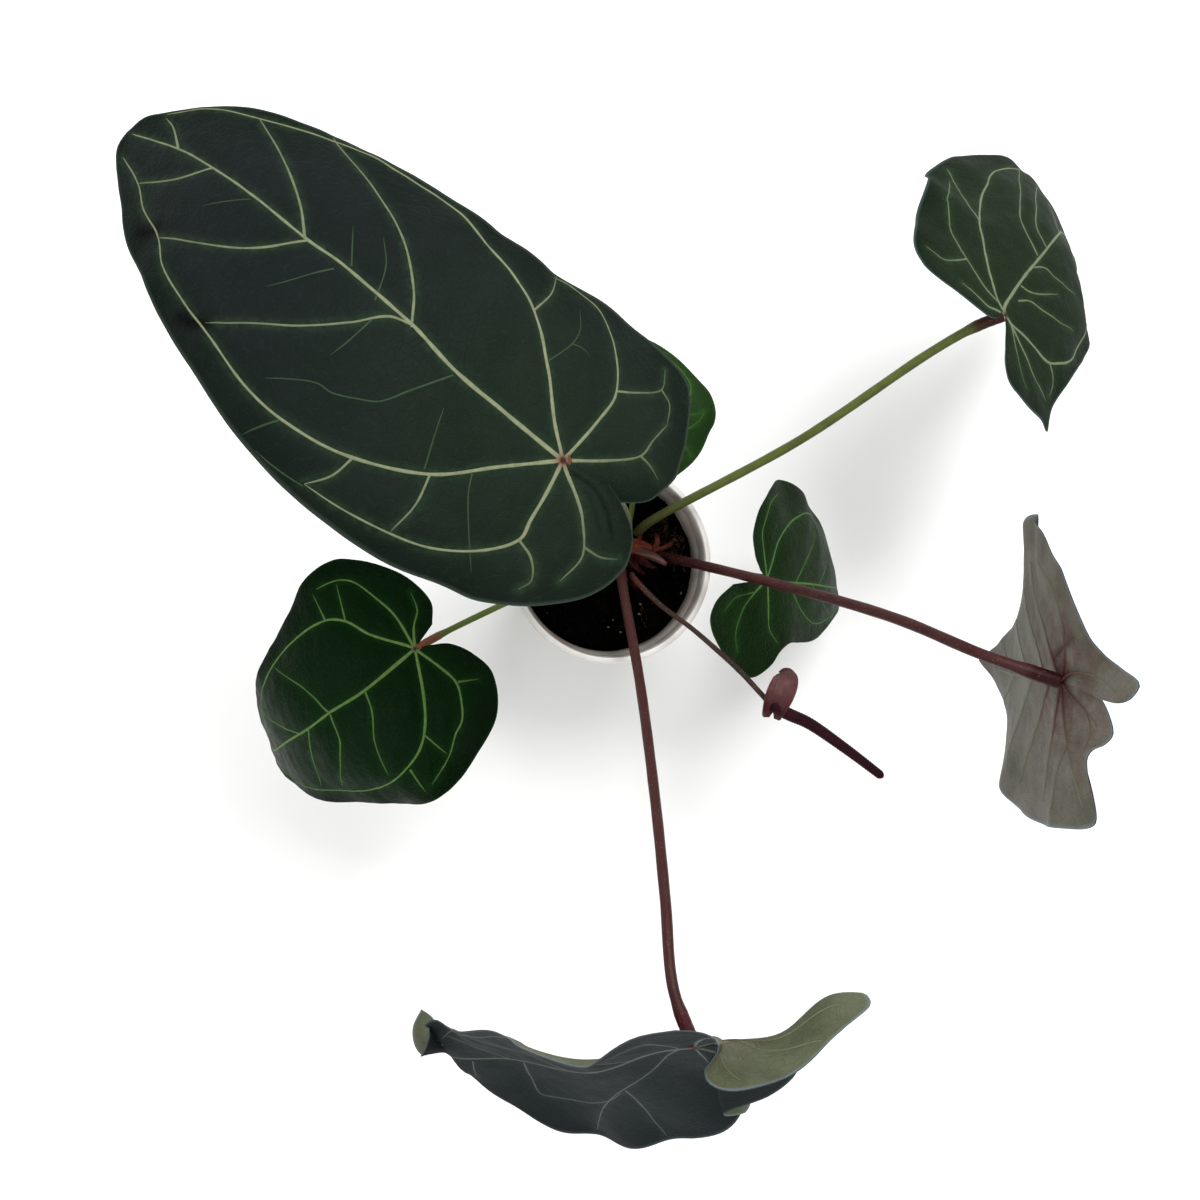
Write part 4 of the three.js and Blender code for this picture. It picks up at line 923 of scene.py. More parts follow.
def build_blade(name):
    leaf, sheet, lines = LEAVES[name], sheets[name], veins[name]
    flat, triangles, loops, from_edge = blade_net(leaf, *(COARSE_NET if leaf["half"] < COARSE_BELOW else NET))
    seed = len(name) * 7 + int(leaf["half"])

    def skin(places):
        return quilt(places, lines, leaf["half"], seed) - CREASE_DEPTH * crease_depth_and_shade(name, places)

    def back(places):
        return skin(places) - THICKNESS

    height = skin(flat)
    count = len(flat)
    rim = rim_between(loops, count)
    points = [sheet.raised(flat, height), sheet.raised(flat, height - THICKNESS)]
    faces = [triangles, triangles[:, ::-1] + count, rim]
    slots = [0] * len(triangles) + [1] * len(triangles) + [0] * len(rim)
    flats = [flat, flat]
    values = dict(
        vein_near=[np.exp(-((distance_to(lines, flat) / GLOW_REACH) ** 2))] * 2,
        # painted highlight: paler tone on the cut edge and the last 1.3 mm of the blade
        edge_near=[np.clip(1 - from_edge / RIM_HIGHLIGHT_REACH, 0, 1)] * 2,
        # painted shade: darkening toward the edge, over about a third of the half width
        outer=[np.clip(1 - from_edge / (leaf["half"] * EDGE_SHADE_SHARE), 0, 1)] * 2,
        # painted shade in the creases and dimples
        dark=[crease_depth_and_shade(name, flat)] * 2,
        vein_edge=[np.zeros(count * 2)],
        faded=[np.zeros(count * 2)],
    )
    scale = 1.0 if leaf["half"] > FULL_VEINS_FROM else leaf["half"] / 72
    widths = vein_widths(lines, scale)
    rib_widths = [(a * RIB_SHARE, b * RIB_SHARE) for a, b in widths]
    faint = faint_veins[name]
    layers = [(lines, widths, VEIN_DOME, skin, 2), (lines, rib_widths, RIB_DOME, back, 3)]
    if faint:
        layers.append((faint, [FAINT_VEIN] * len(faint), FAINT_DOME, skin, 2))
    for group, widths, dome, base, slot_index in layers:
        spots, quads, places, shares = ribbons(sheet, group, widths, dome * scale, base, seed + slot_index)
        faces.append(quads + sum(map(len, points)))
        points.append(spots)
        slots += [slot_index] * len(quads)
        flats.append(places)
        values["vein_near"].append(np.ones(len(spots)))
        for key in ("edge_near", "outer", "dark"):
            values[key].append(np.zeros(len(spots)))
        values["vein_edge"].append(np.tile([1, 0.4, 0, 0.4, 1], len(spots) // COLUMNS))
        values["faded"].append(0.978 + 0.018 * shares if group is faint else vein_fade(group, places, shares))
    flats = np.concatenate(flats)
    values = {key: np.concatenate(parts) for key, parts in values.items()}
    values["from_hub"] = np.linalg.norm(flats, axis=1) / leaf["left"][-1][0]
    all_faces = [face for group in faces for face in group.tolist()]
    points = drawn_in(np.concatenate(points), leaf, "blade_" + name)
    names = ("leaf_" + name, "blade_" + name, "young_leaf" if name in YOUNG_LEAVES else "velvet_leaf")
    make_piece(*names, points, all_faces, leaf_materials(name), slots, flats, values)


for name in LEAVES:
    build_blade(name)

# %% [markdown]
# ## Stalks
# A rod that follows a curve needs a frame that doesn't spin. Here each ring's frame is the last
# one turned by as little as the path bends, which is called parallel transport. The curve is the
# centripetal kind, the same as the solids use, so the stalks lie in the holes left for them.

# %% Rods
def rod_path(points, step):
    """A centripetal spline through the points, cut at even steps."""
    points = np.array(points, float)
    ends = [2 * points[0] - points[1], *points, 2 * points[-1] - points[-2]]
    s = np.linspace(0, 1, 60)[:, None]
    weights = (2 * s**3 - 3 * s**2 + 1, s**3 - 2 * s**2 + s, 3 * s**2 - 2 * s**3, s**3 - s**2)
    dense = []
    for p0, p1, p2, p3 in zip(ends, ends[1:], ends[2:], ends[3:]):
        d0, d1, d2 = (max(np.linalg.norm(b - a) ** 0.5, 1e-4) for a, b in ((p0, p1), (p1, p2), (p2, p3)))
        t1 = ((p1 - p0) / d0 - (p2 - p0) / (d0 + d1) + (p2 - p1) / d1) * d1
        t2 = ((p2 - p1) / d1 - (p3 - p1) / (d1 + d2) + (p3 - p2) / d2) * d1
        dense.append(sum(weight * part for weight, part in zip(weights, (p1, t1, p2, t2))))
    dense = np.concatenate(dense)
    lengths = running_length(dense)
    keep = np.concatenate([[True], np.diff(lengths) > 1e-9])
    dense, lengths = dense[keep], lengths[keep]
    wanted = np.linspace(0, lengths[-1], max(6, int(lengths[-1] / step)))
    return np.stack([np.interp(wanted, lengths, dense[:, k]) for k in range(3)], 1)


def rod_frames(path):
    """Two directions across the path at each of its points."""
    tangents = unit(np.gradient(path, axis=0))
    normal = np.cross(tangents[0], (0, 0, 1))
    if np.linalg.norm(normal) < 0.1:
        normal = np.cross(tangents[0], (0, 1, 0))
    normal = unit(normal)
    normals = []
    for tangent in tangents:
        normal = unit(normal - tangent * (normal @ tangent))
        normals.append(normal)
    normals = np.array(normals)
    return normals, np.cross(tangents, normals)


def wrapped_faces(rows, sides, first=0):
    """Faces of a closed tube of rings. Its first cap's middle comes after the rings, then the last's."""
    grid = np.arange(rows * sides).reshape(rows, sides) + first
    right_of = np.roll(grid, -1, axis=1)
    faces = np.stack([grid[:-1], right_of[:-1], right_of[1:], grid[1:]], -1).reshape(-1, 4).tolist()
    foot, head = first + rows * sides, first + rows * sides + 1
    faces += [[foot, int(b), int(a)] for a, b in zip(grid[0], right_of[0])]
    faces += [[head, int(a), int(b)] for a, b in zip(grid[-1], right_of[-1])]
    return faces


def rod(path, radius, sides, first=0):
    """A closed rod. radius(share, turn) takes arrays of rows and columns. Also gives share and turn."""
    normals, binormals = rod_frames(path)
    share = np.linspace(0, 1, len(path))[:, None]
    turn = np.linspace(0, 2 * np.pi, sides, endpoint=False)[None, :]
    radii = radius(share, turn) * np.ones((len(path), sides))
    ring = normals[:, None] * np.cos(turn)[..., None] + binormals[:, None] * np.sin(turn)[..., None]
    points = (path[:, None] + ring * radii[..., None]).reshape(-1, 3)
    points = np.concatenate([points, [path[0], path[-1]]])
    faces = wrapped_faces(len(path), sides, first)
    shares = np.concatenate([np.repeat(share[:, 0], sides), [0, 1]])
    turns = np.concatenate([np.tile(turn[0], len(path)), [0, 0]])
    return points, faces, shares, turns


# %% [markdown]
# A petiole is round and firm, thickest at its foot and at the geniculum, the joint under the
# blade that turns the leaf to the light. Its skin has fine lengthwise lines and small pale
# flecks. Most are green, and the two at the right and in front are flushed dark red. A row of
# the table gives a stalk's colour at its foot, in its middle and at its joint.

# %% Petioles
def stalk_finish(name, base, middle, joint, fleck="6c6a48"):
    def colour(tree):
        along = attribute(tree, "along")
        tone = mixed(tree, ranged(tree, along, 0.0, 0.3), base, middle)
        tone = mixed(tree, ranged(tree, attribute(tree, "joint"), 0.2, 0.9), tone, joint)
        tone = mixed(tree, ranged(tree, noise(tree, 9, 4), 0.4, 0.75, 0.0, 0.5), tone, base)
        return mixed(tree, ranged(tree, noise(tree, 1.1, 2), 0.62, 0.72, 0.0, 0.35), tone, fleck)

    def height(tree):
        return plus(tree, times(tree, attribute(tree, "line"), 0.6), noise(tree, 1.5, 3))

    return finish_of(name, colour, 0.45, height, 0.18, Specular_IOR_Level=0.12)


STALKS = {
    "north_west": ("3c3e22", "464a24", "5a3a30", "green_petiole"),
    "north_east": ("3a3a1e", "4e5828", "34100f", "green_petiole"),
    "east": ("200809", "3a1a1b", "2a050a", "red_petiole"),
    "south": ("402623", "3a1c1a", "440e1c", "red_petiole"),
    "south_west": ("465024", "4c5c26", "70402c", "green_petiole"),
    "north": ("465024", "4c5c26", "4e5e28", "green_petiole"),
    "south_east": ("425024", "425c26", "4e5e28", "green_petiole"),
}


STALK_STEP, STOPS_SHORT, FINE_LINES = 1.6, 1.2, 12


def smooth_step(x, low, high):
    s = np.clip((x - low) / (high - low), 0, 1)
    return s * s * (3 - 2 * s)


def build_petiole(name):
    leaf = LEAVES[name]
    *colours, slot = STALKS[name]
    path = rod_path(leaf["petiole"], STALK_STEP)
    length = running_length(path)[-1]
    path = path[: np.searchsorted(running_length(path), length - STOPS_SHORT)]
    offsets = np.random.default_rng(len(name) + 40).uniform(0, 6.3, 3)

    def radius(share, turn):
        joint = 1 - smooth_step(length * (1 - share), 14, 24)
        foot = 1 - smooth_step(length * share, 0, 30)
        lines = 0.012 * np.sin(7 * turn + offsets[0]) + 0.01 * np.sin(FINE_LINES * turn + offsets[1])
        knobs = 0.015 * np.sin(share * length / 5 + offsets[2]) * (1 + joint)
        creases = 0.02 * joint * np.sin(share * length * 2.4)
        thick = leaf["stalk"] * (1 - 0.1 * share) * (1 + 0.3 * joint + 0.15 * foot)
        return thick * (1 + lines + knobs + creases)

    points, faces, shares, turns = rod(path, radius, 28)
    joint = 1 - smooth_step(length * (1 - shares), 8, 26)
    values = dict(along=shares, joint=joint, line=0.5 + 0.5 * np.sin(FINE_LINES * turns + offsets[1]))
    finish = stalk_finish("skin_of_petiole_" + name, *colours)
    make_piece("stalk_" + name, "petiole_" + name, slot, points, faces, [finish], values=values)


for name in LEAVES:
    build_petiole(name)

# %% [markdown]
# ## Pot
# The pot is a thin injection moulded nursery pot: a tapered wall, a wider collar and a rolled
# lip. Such a body is round all over, so its outline is spun round the middle, as on a lathe. The
# outline runs from the middle of the base up the outside, over the lip and down the inside. The
# inner wall is painted darker, as the shade inside the pot, deepest near the soil and in brownish
# blotches; the finish finds it as the side that faces the middle. The six drain holes are cut
# with the Boolean modifier, which is then applied.

# %% Pot
POT_HEIGHT, RIM, BASE, WALL, COLLAR, STEP, LIP = 118, 65, 45, 1.6, 17, 2.4, 4.2
SOIL = 96


def outer_wall(height):
    top = RIM - LIP + 1 - STEP
    return BASE + (top - BASE) * height / (POT_HEIGHT - COLLAR)


collar_foot = POT_HEIGHT - COLLAR
collar_in = RIM - LIP - 0.9
collar_out = collar_in + WALL + 0.6
POT_OUTLINE = [
    (0, 0.0), (BASE - 4, 0), (BASE - 2.6, 0), (BASE - 0.9, 0.5),
    *((outer_wall(z), z) for z in (2, 3, 50, collar_foot - 2, collar_foot - 1)),
    (collar_out - 0.6, collar_foot), (collar_out, collar_foot + 1.5), (collar_out + 0.1, collar_foot + 3),
    (collar_out + 0.8, POT_HEIGHT - 4.4), (RIM - 0.5, POT_HEIGHT - 3.6), (RIM, POT_HEIGHT - 2.2),
    (RIM - 0.6, POT_HEIGHT - 0.6), (RIM - 2, POT_HEIGHT), (RIM - LIP + 0.7, POT_HEIGHT - 0.3),
    (RIM - LIP, POT_HEIGHT - 1.4), (collar_in + 0.6, POT_HEIGHT - 4), (collar_in, collar_foot + 3.5),
    (outer_wall(collar_foot + 1) - WALL, collar_foot + 1.5),
    *((outer_wall(z) - WALL, z) for z in (collar_foot - 3, 50, 6, 5)),
    (outer_wall(3) - WALL - 1.6, 3), (BASE - 12, 3), (0, 3.0),
]


def spin(outline, sides):
    """A closed body of revolution. The first and last point of the outline lie on the axis."""
    outline = np.array(outline, float)
    turns = np.linspace(0, 2 * np.pi, sides, endpoint=False)
    ring = np.stack([np.cos(turns), np.sin(turns)], 1)
    middle = outline[1:-1]
    points = [np.column_stack([ring * r, np.full(sides, z)]) for r, z in middle]
    points.append([[0, 0, outline[0, 1]], [0, 0, outline[-1, 1]]])
    return np.concatenate(points), wrapped_faces(len(middle), sides)


def pot_colour(tree):
    tone = mixed(tree, ranged(tree, noise(tree, 30, 4), 0.35, 0.7), "d6d3cf", "cbc7c2")
    parts = put(tree, "SeparateXYZ", {"Vector": place(tree)}).outputs
    flat_place = put(tree, "CombineXYZ", {"X": parts["X"], "Y": parts["Y"]}).outputs[0]
    radius = put(tree, "VectorMath", {0: flat_place}, operation="LENGTH").outputs["Value"]
    near_axis = ranged(tree, radius, (RIM - LIP - 0.4) * MM, (RIM - LIP + 1.2) * MM, 1.0, 0.0)
    normal = put(tree, "NewGeometry").outputs["Normal"]
    outward = put(tree, "VectorMath", {0: normal, 1: flat_place}, operation="DOT_PRODUCT").outputs["Value"]
    inside = times(tree, near_axis, ranged(tree, outward, -0.03, -0.005, 1.0, 0.0))
    above_soil = ranged(tree, parts["Z"], (SOIL + 1) * MM, POT_HEIGHT * MM, 1.0, 0.45)
    # painted shade: the inner wall is greyed, deepest near the soil
    tone = mixed(tree, times(tree, inside, above_soil), tone, "77706a")
    # painted shade in brownish blotches on the inner wall
    blotched_shade = times(tree, inside, ranged(tree, noise(tree, 14, 5), 0.4, 0.75, 0.0, 0.5))
    tone = mixed(tree, blotched_shade, tone, "7c6458")
    return mixed(tree, ranged(tree, noise(tree, 2.2, 2), 0.7, 0.78, 0.0, 0.35), tone, "8d8377")


plastic = finish_of(
    "white_pot_plastic", pot_colour, lambda tree: ranged(tree, noise(tree, 8, 3), 0.2, 0.8, 0.3, 0.42),
    lambda tree: noise(tree, 1.2, 3), 0.04,
    Specular_IOR_Level=0.5, Subsurface_Weight=0.08, Subsurface_Scale=0.004,
)
pot_points, pot_faces = spin(POT_OUTLINE, 192)
pot = make_piece("nursery_pot", "pot", "pot_plastic", pot_points, pot_faces, [plastic])

# %% Drain holes
HOLES, HOLE_RADIUS, HOLE_RING = 6, 4, 28


def drills():
    """One mesh of short rods, one where each drain hole goes."""
    points, faces = [], []
    for k in range(HOLES):
        turn = 2 * math.pi * k / HOLES
        bit, sides = spin([(0, -4.0), (HOLE_RADIUS, -4), (HOLE_RADIUS, 8), (0, 8.0)], 40)
        faces += [[corner + len(points) for corner in face] for face in sides]
        points += (bit + [HOLE_RING * math.cos(turn), HOLE_RING * math.sin(turn), 0]).tolist()
    mesh = bpy.data.meshes.new("drills")
    mesh.from_pydata((np.array(points) * MM).tolist(), [], faces)
    return bpy.data.objects.new("drills", mesh)


cutter = drills()
bpy.context.collection.objects.link(cutter)
cut = pot.modifiers.new("holes", "BOOLEAN")
cut.operation, cut.object, cut.solver = "DIFFERENCE", cutter, "EXACT"
drilled = bpy.data.meshes.new_from_object(pot.evaluated_get(bpy.context.evaluated_depsgraph_get()))
pot.modifiers.clear()
pot.data = drilled
drilled.set_sharp_from_angle(angle=math.radians(40))
bpy.data.objects.remove(cutter)
print("pot with holes:", len(drilled.polygons), "faces")

# %% [markdown]
# ## Potting mix
# The mix is almost black and lies below the collar: fine crumbs with chips of bark, a few pale
# grains and a tuft of dry brown moss. The ground is a round height field. Each chip is a small
# hull of random points that is half sunk into it, because real chips have flat, broken faces. A
# strand of moss is a thin rod that wanders over the ground.

# %% Potting mix
INNER = outer_wall(SOIL) - WALL - 0.5
SOIL_FOOT = 3.4


def soil_height(x, y):
    """A low heap with waves of five sizes on it, the same each time it is asked."""
    height = SOIL + 1.2 * (1 - (x**2 + y**2) / INNER**2)
    waves = np.random.default_rng(5)
    for size, depth in ((30, 0.8), (12, 0.6), (6, 0.45), (3, 0.3), (1.7, 0.2)):
        for _ in range(5):
            kx, ky = waves.normal(0, 2 * np.pi / size / 1.4, 2)
            height = height + depth * 0.42 * np.sin(kx * x + ky * y + waves.uniform(0, 6.3))
    return height


def ground():
    """The top of the mix in rings, and one last ring at the base of the pot."""
    rings, sides = 90, 220
    radii = INNER * np.linspace(0.004, 1, rings)
    turns = np.linspace(0, 2 * np.pi, sides, endpoint=False)
    x, y = np.outer(radii, np.cos(turns)), np.outer(radii, np.sin(turns))
    jitter = np.random.default_rng(3).uniform(-0.25, 0.25, (2, rings, sides))
    jitter[:, -1] = 0
    x, y = x + jitter[0], y + jitter[1]
    top_rings = np.stack([x, y, soil_height(x, y)], -1)
    narrowing = (outer_wall(SOIL_FOOT) - WALL - 2.2) / INNER
    foot_ring = np.stack([x[-1:] * narrowing, y[-1:] * narrowing, np.full((1, sides), SOIL_FOOT)], -1)
    points = np.concatenate([top_rings, foot_ring])
    grid = np.arange((rings + 1) * sides).reshape(rings + 1, sides)
    right_of = np.roll(grid, -1, axis=1)
    faces = np.stack([grid[:-1], grid[1:], right_of[1:], right_of[:-1]], -1).reshape(-1, 4).tolist()
    flat_points = points.reshape(-1, 3)
    top, low = len(flat_points), len(flat_points) + 1
    flat_points = np.concatenate([flat_points, [[0, 0, float(soil_height(0.0, 0.0))], [0, 0, SOIL_FOOT]]])
    faces += [[top, int(a), int(b)] for a, b in zip(grid[0], right_of[0])]
    faces += [[low, int(b), int(a)] for a, b in zip(grid[-1], right_of[-1])]
    return flat_points, faces


def hull(points):
    """The convex hull of a few points, as arrays."""
    shape = bmesh.new()
    for p in points:
        shape.verts.new(p)
    found = bmesh.ops.convex_hull(shape, input=shape.verts)
    bmesh.ops.delete(shape, geom=list({*found["geom_interior"], *found["geom_unused"]}), context="VERTS")
    shape.verts.index_update()
    corners = np.array([v.co[:] for v in shape.verts])
    faces = [[v.index for v in face.verts] for face in shape.faces]
    shape.free()
    return corners, faces


def scattered_chips(count, sizes, flatness, reach, seed):
    """Chips strewn over the mix, each turned about and tilted a little."""
    chance = np.random.default_rng(seed)
    points, faces = [], []
    for _ in range(count):
        size = chance.uniform(*sizes)
        cloud = unit(chance.normal(0, 1, (12, 3))) * size
        corners, sides = hull(cloud * [1, chance.uniform(0.45, 0.8), chance.uniform(*flatness)])
        a, b = chance.uniform(0, 6.3), chance.normal(0, 0.35)
        tilt = np.array([[1, 0, 0], [0, math.cos(b), -math.sin(b)], [0, math.sin(b), math.cos(b)]])
        spin_z = np.array([[math.cos(a), -math.sin(a), 0], [math.sin(a), math.cos(a), 0], [0, 0, 1]])
        radius, turn = reach * math.sqrt(chance.uniform(0, 1)), chance.uniform(0, 6.3)
        x, y = radius * math.cos(turn), radius * math.sin(turn)
        corners = corners @ tilt.T @ spin_z.T + [x, y, float(soil_height(x, y)) + size * 0.12]
        faces += [[corner + len(points) for corner in face] for face in sides]
        points += corners.tolist()
    return np.array(points), faces


def fibres(count, middle, spread, seed):
    """Dry strands of moss that lie on the mix round a place."""
    chance = np.random.default_rng(seed)
    points, faces = [], []
    for _ in range(count):
        heading = chance.uniform(0, 6.3)
        x, y = chance.normal(middle, spread)
        path = []
        for _ in range(7):
            path.append([x, y, float(soil_height(x, y)) + chance.uniform(0.1, 1.4)])
            heading += chance.normal(0, 0.5)
            x, y = x + 2.2 * math.cos(heading), y + 2.2 * math.sin(heading)
        if max(math.hypot(px, py) for px, py, _ in path) > INNER - 2:
            continue
        bit, sides, _, _ = rod(rod_path(path, 1.2), lambda share, turn: 0.24 + 0 * share, 5, len(points))
        points += bit.tolist()
        faces += sides
    return np.array(points), faces


def mix_colour(dark, light, grain):
    return lambda tree: mixed(tree, ranged(tree, noise(tree, grain, 5), 0.4, 0.75), dark, light)


crumb = finish_of(
    "black_mix", mix_colour("010101", "050403", 2.5), 0.95, lambda tree: noise(tree, 0.8, 5), 0.5,
    Specular_IOR_Level=0.01,
)
bark = finish_of(
    "bark_chip", mix_colour("020101", "0b0705", 3), 0.9, lambda tree: noise(tree, 1.0, 5), 0.3,
    Specular_IOR_Level=0.01,
)
grit = finish_of("pale_grit", mix_colour("3c3f30", "6c6c5a", 1), 0.9, lambda tree: noise(tree, 0.6, 4), 0.2)
moss = finish_of(
    "dry_moss", mix_colour("140a05", "4a321e", 4), 0.9, lambda tree: noise(tree, 0.5, 3), 0.1,
    Specular_IOR_Level=0.05,
)
groups = [
    (ground(), 0), (scattered_chips(260, (1.4, 4.2), (0.25, 0.5), INNER - 4.5, 21), 1),
    (scattered_chips(700, (0.5, 1.3), (0.4, 0.8), INNER - 2, 22), 0),
    (scattered_chips(15, (0.7, 1.6), (0.3, 0.6), INNER - 3, 23), 2),
    (fibres(70, [47, 17], 7, 24), 3), (fibres(5, [30, -18], 16, 25), 3),
]
soil_points, soil_faces, soil_slots = [], [], []
for (points, faces), slot_index in groups:
    soil_faces += [[corner + len(soil_points) for corner in face] for face in faces]
    soil_slots += [slot_index] * len(faces)
    soil_points += points.tolist()
make_piece("potting_mix", "soil", "bark_mix", soil_points, soil_faces, [crumb, bark, grit, moss], soil_slots)

# %% [markdown]
# ## Stem, roots and dry sheaths
# All leaves leave one short creeping stem. It is ringed where old leaves have dropped, rough and
# rust coloured, with thick roots that dive into the mix and papery sheaths left standing. The
# stem and roots are rods with rings in their radius, and a sheath is a cupped pointed scale.

# %% Stem and roots
def radii_between(values):
    stations = np.linspace(0, 1, len(values))
    return lambda share: smooth_through(stations, values, share)


STEM_PATH = [[4, 2, 62], [6, 5, 84], [12, 10, 97], [22, 11, 101], [31, 9, 100]]
ROOTS = [
    ([[2, 4, 97], [-7, 10, 98], [-13, 16, 90]], 1.9),
    ([[29, 9, 100], [32.5, 13, 102], [33, 18, 98], [34, 22, 88]], 1.7),
    ([[30, 9, 100], [36, 10, 101.5], [42, 13, 99], [47, 16, 88]], 1.6),
    ([[6, 2, 96], [-4, -8, 97], [-9, -15, 88]], 1.8),
    ([[20, 12, 99], [22, 19, 98.5], [22, 26, 88]], 1.7),
]
SHEATHS = [
    ([[20, 7, 98], [26, 0, 99], [33, -3, 101]], 3.2), ([[1, 5, 97], [-6, 9, 105], [-10, 11, 118]], 5),
    ([[16, 6, 97], [20, -3, 99], [25, -7, 101]], 3), ([[11, 4, 96], [15, -9, 99], [20, -18, 102]], 4),
]


def stem_radius(share, turn):
    rings = 0.35 * np.abs(np.sin(share * 34 + 0.4 * np.sin(turn * 2)))
    lumps = 0.4 * np.sin(3 * turn + share * 9) + 0.3 * np.sin(5 * turn - share * 15)
    closing = np.clip((1.02 - share) * 14, 0.2, 1)
    return (radii_between([6, 8, 7.5, 5.5, 3.2])(share) + rings + lumps - 0.7) * closing


def sheath(path, width, first):
    """A cupped, pointed scale with a torn edge, closed all round."""
    line = rod_path(path, 0.8)
    steps, columns = len(line), 13
    along = unit(np.gradient(line, axis=0))
    left = unit(np.cross([0, 0, 1.0], along))
    outward = np.cross(along, left)
    share = np.linspace(0, 1, steps)[:, None]
    across = np.linspace(-1, 1, columns)[None, :]
    torn = 1 + 0.07 * np.sin(share * 40 + across * 3) * np.abs(across)
    half = width * (1 - 0.86 * share**1.6) * torn
    cup = 0.35 * half * (1 - across**2)
    crinkle = 0.22 * np.sin(across * 15 + share * 5)
    shells = []
    for offset in (0.35, -0.35):
        rise = offset - cup + crinkle
        aside = left[:, None] * (across * half)[..., None]
        shells.append(line[:, None] + aside + outward[:, None] * rise[..., None])
    points = np.concatenate([shell.reshape(-1, 3) for shell in shells])
    grid = np.arange(steps * columns).reshape(steps, columns) + first
    under = grid + steps * columns
    upper = [grid[:-1, :-1], grid[1:, :-1], grid[1:, 1:], grid[:-1, 1:]]
    lower = [under[:-1, :-1], under[:-1, 1:], under[1:, 1:], under[1:, :-1]]
    faces = [face for side in (upper, lower) for face in np.stack(side, -1).reshape(-1, 4).tolist()]
    edge = [*grid[0], *grid[1:, -1], *grid[-1, -2::-1], *grid[-2:0:-1, 0]]
    below = [*under[0], *under[1:, -1], *under[-1, -2::-1], *under[-2:0:-1, 0]]
    for k in range(len(edge)):
        n = (k + 1) % len(edge)
        faces.append([int(edge[k]), int(edge[n]), int(below[n]), int(below[k])])
    return points, faces


def stem_colour(tree):
    tone = mixed(tree, ranged(tree, noise(tree, 5, 5), 0.35, 0.65), "42160b", "582614")
    tone = mixed(tree, ranged(tree, noise(tree, 11, 3, distortion=0.6), 0.5, 0.62), tone, "380d09")
    return mixed(tree, ranged(tree, noise(tree, 3, 4), 0.6, 0.72), tone, "643820")


rust = finish_of(
    "rusty_stem", stem_colour, 0.72, lambda tree: noise(tree, 1.4, 5), 0.5, Specular_IOR_Level=0.12
)
root_skin = finish_of(
    "root_skin", mix_colour("34130c", "58281a", 4), 0.75, lambda tree: noise(tree, 0.9, 4), 0.25,
    Specular_IOR_Level=0.12,
)
papery = finish_of(
    "papery_sheath", mix_colour("240907", "441a16", 3), 0.8,
    lambda tree: noise(tree, 1.0, 5, distortion=1.0), 0.3, Specular_IOR_Level=0.12,
)
crown_points, crown_faces, crown_slots = [], [], []


def add_to_crown(points, faces, slot_index):
    crown_points.extend(np.asarray(points).tolist())
    crown_faces.extend(faces)
    crown_slots.extend([slot_index] * len(faces))


def root_radius(thick, k):
    taper = radii_between([thick * 1.2, thick, thick * 0.7])
    return lambda share, turn: taper(share) * (1 + 0.08 * np.sin(share * 30 + 2 * turn + k))


add_to_crown(*rod(rod_path(STEM_PATH, 0.6), stem_radius, 48)[:2], 0)
for k, (path, thick) in enumerate(ROOTS):
    add_to_crown(*rod(rod_path(path, 0.7), root_radius(thick, k), 18, len(crown_points))[:2], 1)
for path, width in SHEATHS:
    add_to_crown(*sheath(path, width, len(crown_points)), 2)
crown_skins = [rust, root_skin, papery]
make_piece("stem_and_sheaths", "crown", "stem_and_roots", crown_points, crown_faces, crown_skins, crown_slots)

# %% [markdown]
# ## New shoot
# The next leaf is still rolled up in its sheath: a smooth pink spear with a few overlapping
# seams, which a slight spiral step in the radius shows.

# %% New shoot
SHOOT = [[18, 9.5, 101], [23.7, 6.4, 107], [29.6, 3, 112.5], [35.2, -1.3, 117]]


def shoot_radius(share, turn):
    spiral = 0.18 * ((turn / (2 * np.pi) + share * 1.5) % 1)
    return radii_between([3, 2.9, 2.7, 1.3])(share) + spiral - 0.1


def shoot_colour(tree):
    tone = mixed(tree, ranged(tree, attribute(tree, "along"), 0.0, 0.35), "5a2614", "3a2826")
    tone = mixed(tree, ranged(tree, attribute(tree, "along"), 0.6, 1.0), tone, "4c2e34")
    tone = mixed(tree, ranged(tree, noise(tree, 3, 4), 0.45, 0.7, 0.0, 0.5), tone, "3c2420")
    return mixed(tree, ranged(tree, attribute(tree, "seam"), 0.86, 0.97), tone, "5a4238")


pink = finish_of(
    "pink_shoot", shoot_colour, 0.5, lambda tree: noise(tree, 1.2, 3), 0.12, Specular_IOR_Level=0.12
)
points, faces, shares, turns = rod(rod_path(SHOOT, 0.4), shoot_radius, 40)
seam = (turns / (2 * np.pi) + shares * 0.25) % 1
values = dict(along=shares, seam=seam)
make_piece("rolled_shoot", "new_shoot", "new_shoot", points, faces, [pink], values=values)

# %% [markdown]
# ## Flower
# The flower is small: a thin stalk, a narrow dusty pink spathe turned back over it, and a dark
# spadix whose surface is packed with tiny flowers in crossing spirals. Those flowers are made in
# the radius of the rod, with a sine along each spiral, and the finish adds their pores.

# %% Spadix
SPADIX = [
    [83, -88, 186], [93, -94, 189], [105, -99.5, 191], [124, -113, 196], [142, -127, 200], [147, -131, 201],
]
PEDUNCLE = [
    [16.5, -6, 96], [16.5, -9.5, 104], [29.2, -26.6, 122], [45.4, -43.8, 149], [56.1, -56.7, 167],
    [67.4, -69.3, 178], [83, -88, 186],
]


SPADIX_FOOT, SPADIX_END, SPIRALS, SPIRAL_TURN = 3.9, 2.5, 7, 150


def crossing_spirals(share, turn):
    return np.cos(SPIRALS * turn + SPIRAL_TURN * share) * np.cos(SPIRALS * turn - SPIRAL_TURN * share)


def spadix_radius(share, turn):
    taper = SPADIX_FOOT + (SPADIX_END - SPADIX_FOOT) * share
    end = np.minimum(share / 0.035, (1 - share) / 0.03)
    rounded = np.minimum(1, np.sqrt(np.minimum(1, end) + 0.05) / math.sqrt(1.05))
    return taper * rounded + 0.2 * crossing_spirals(share, turn)


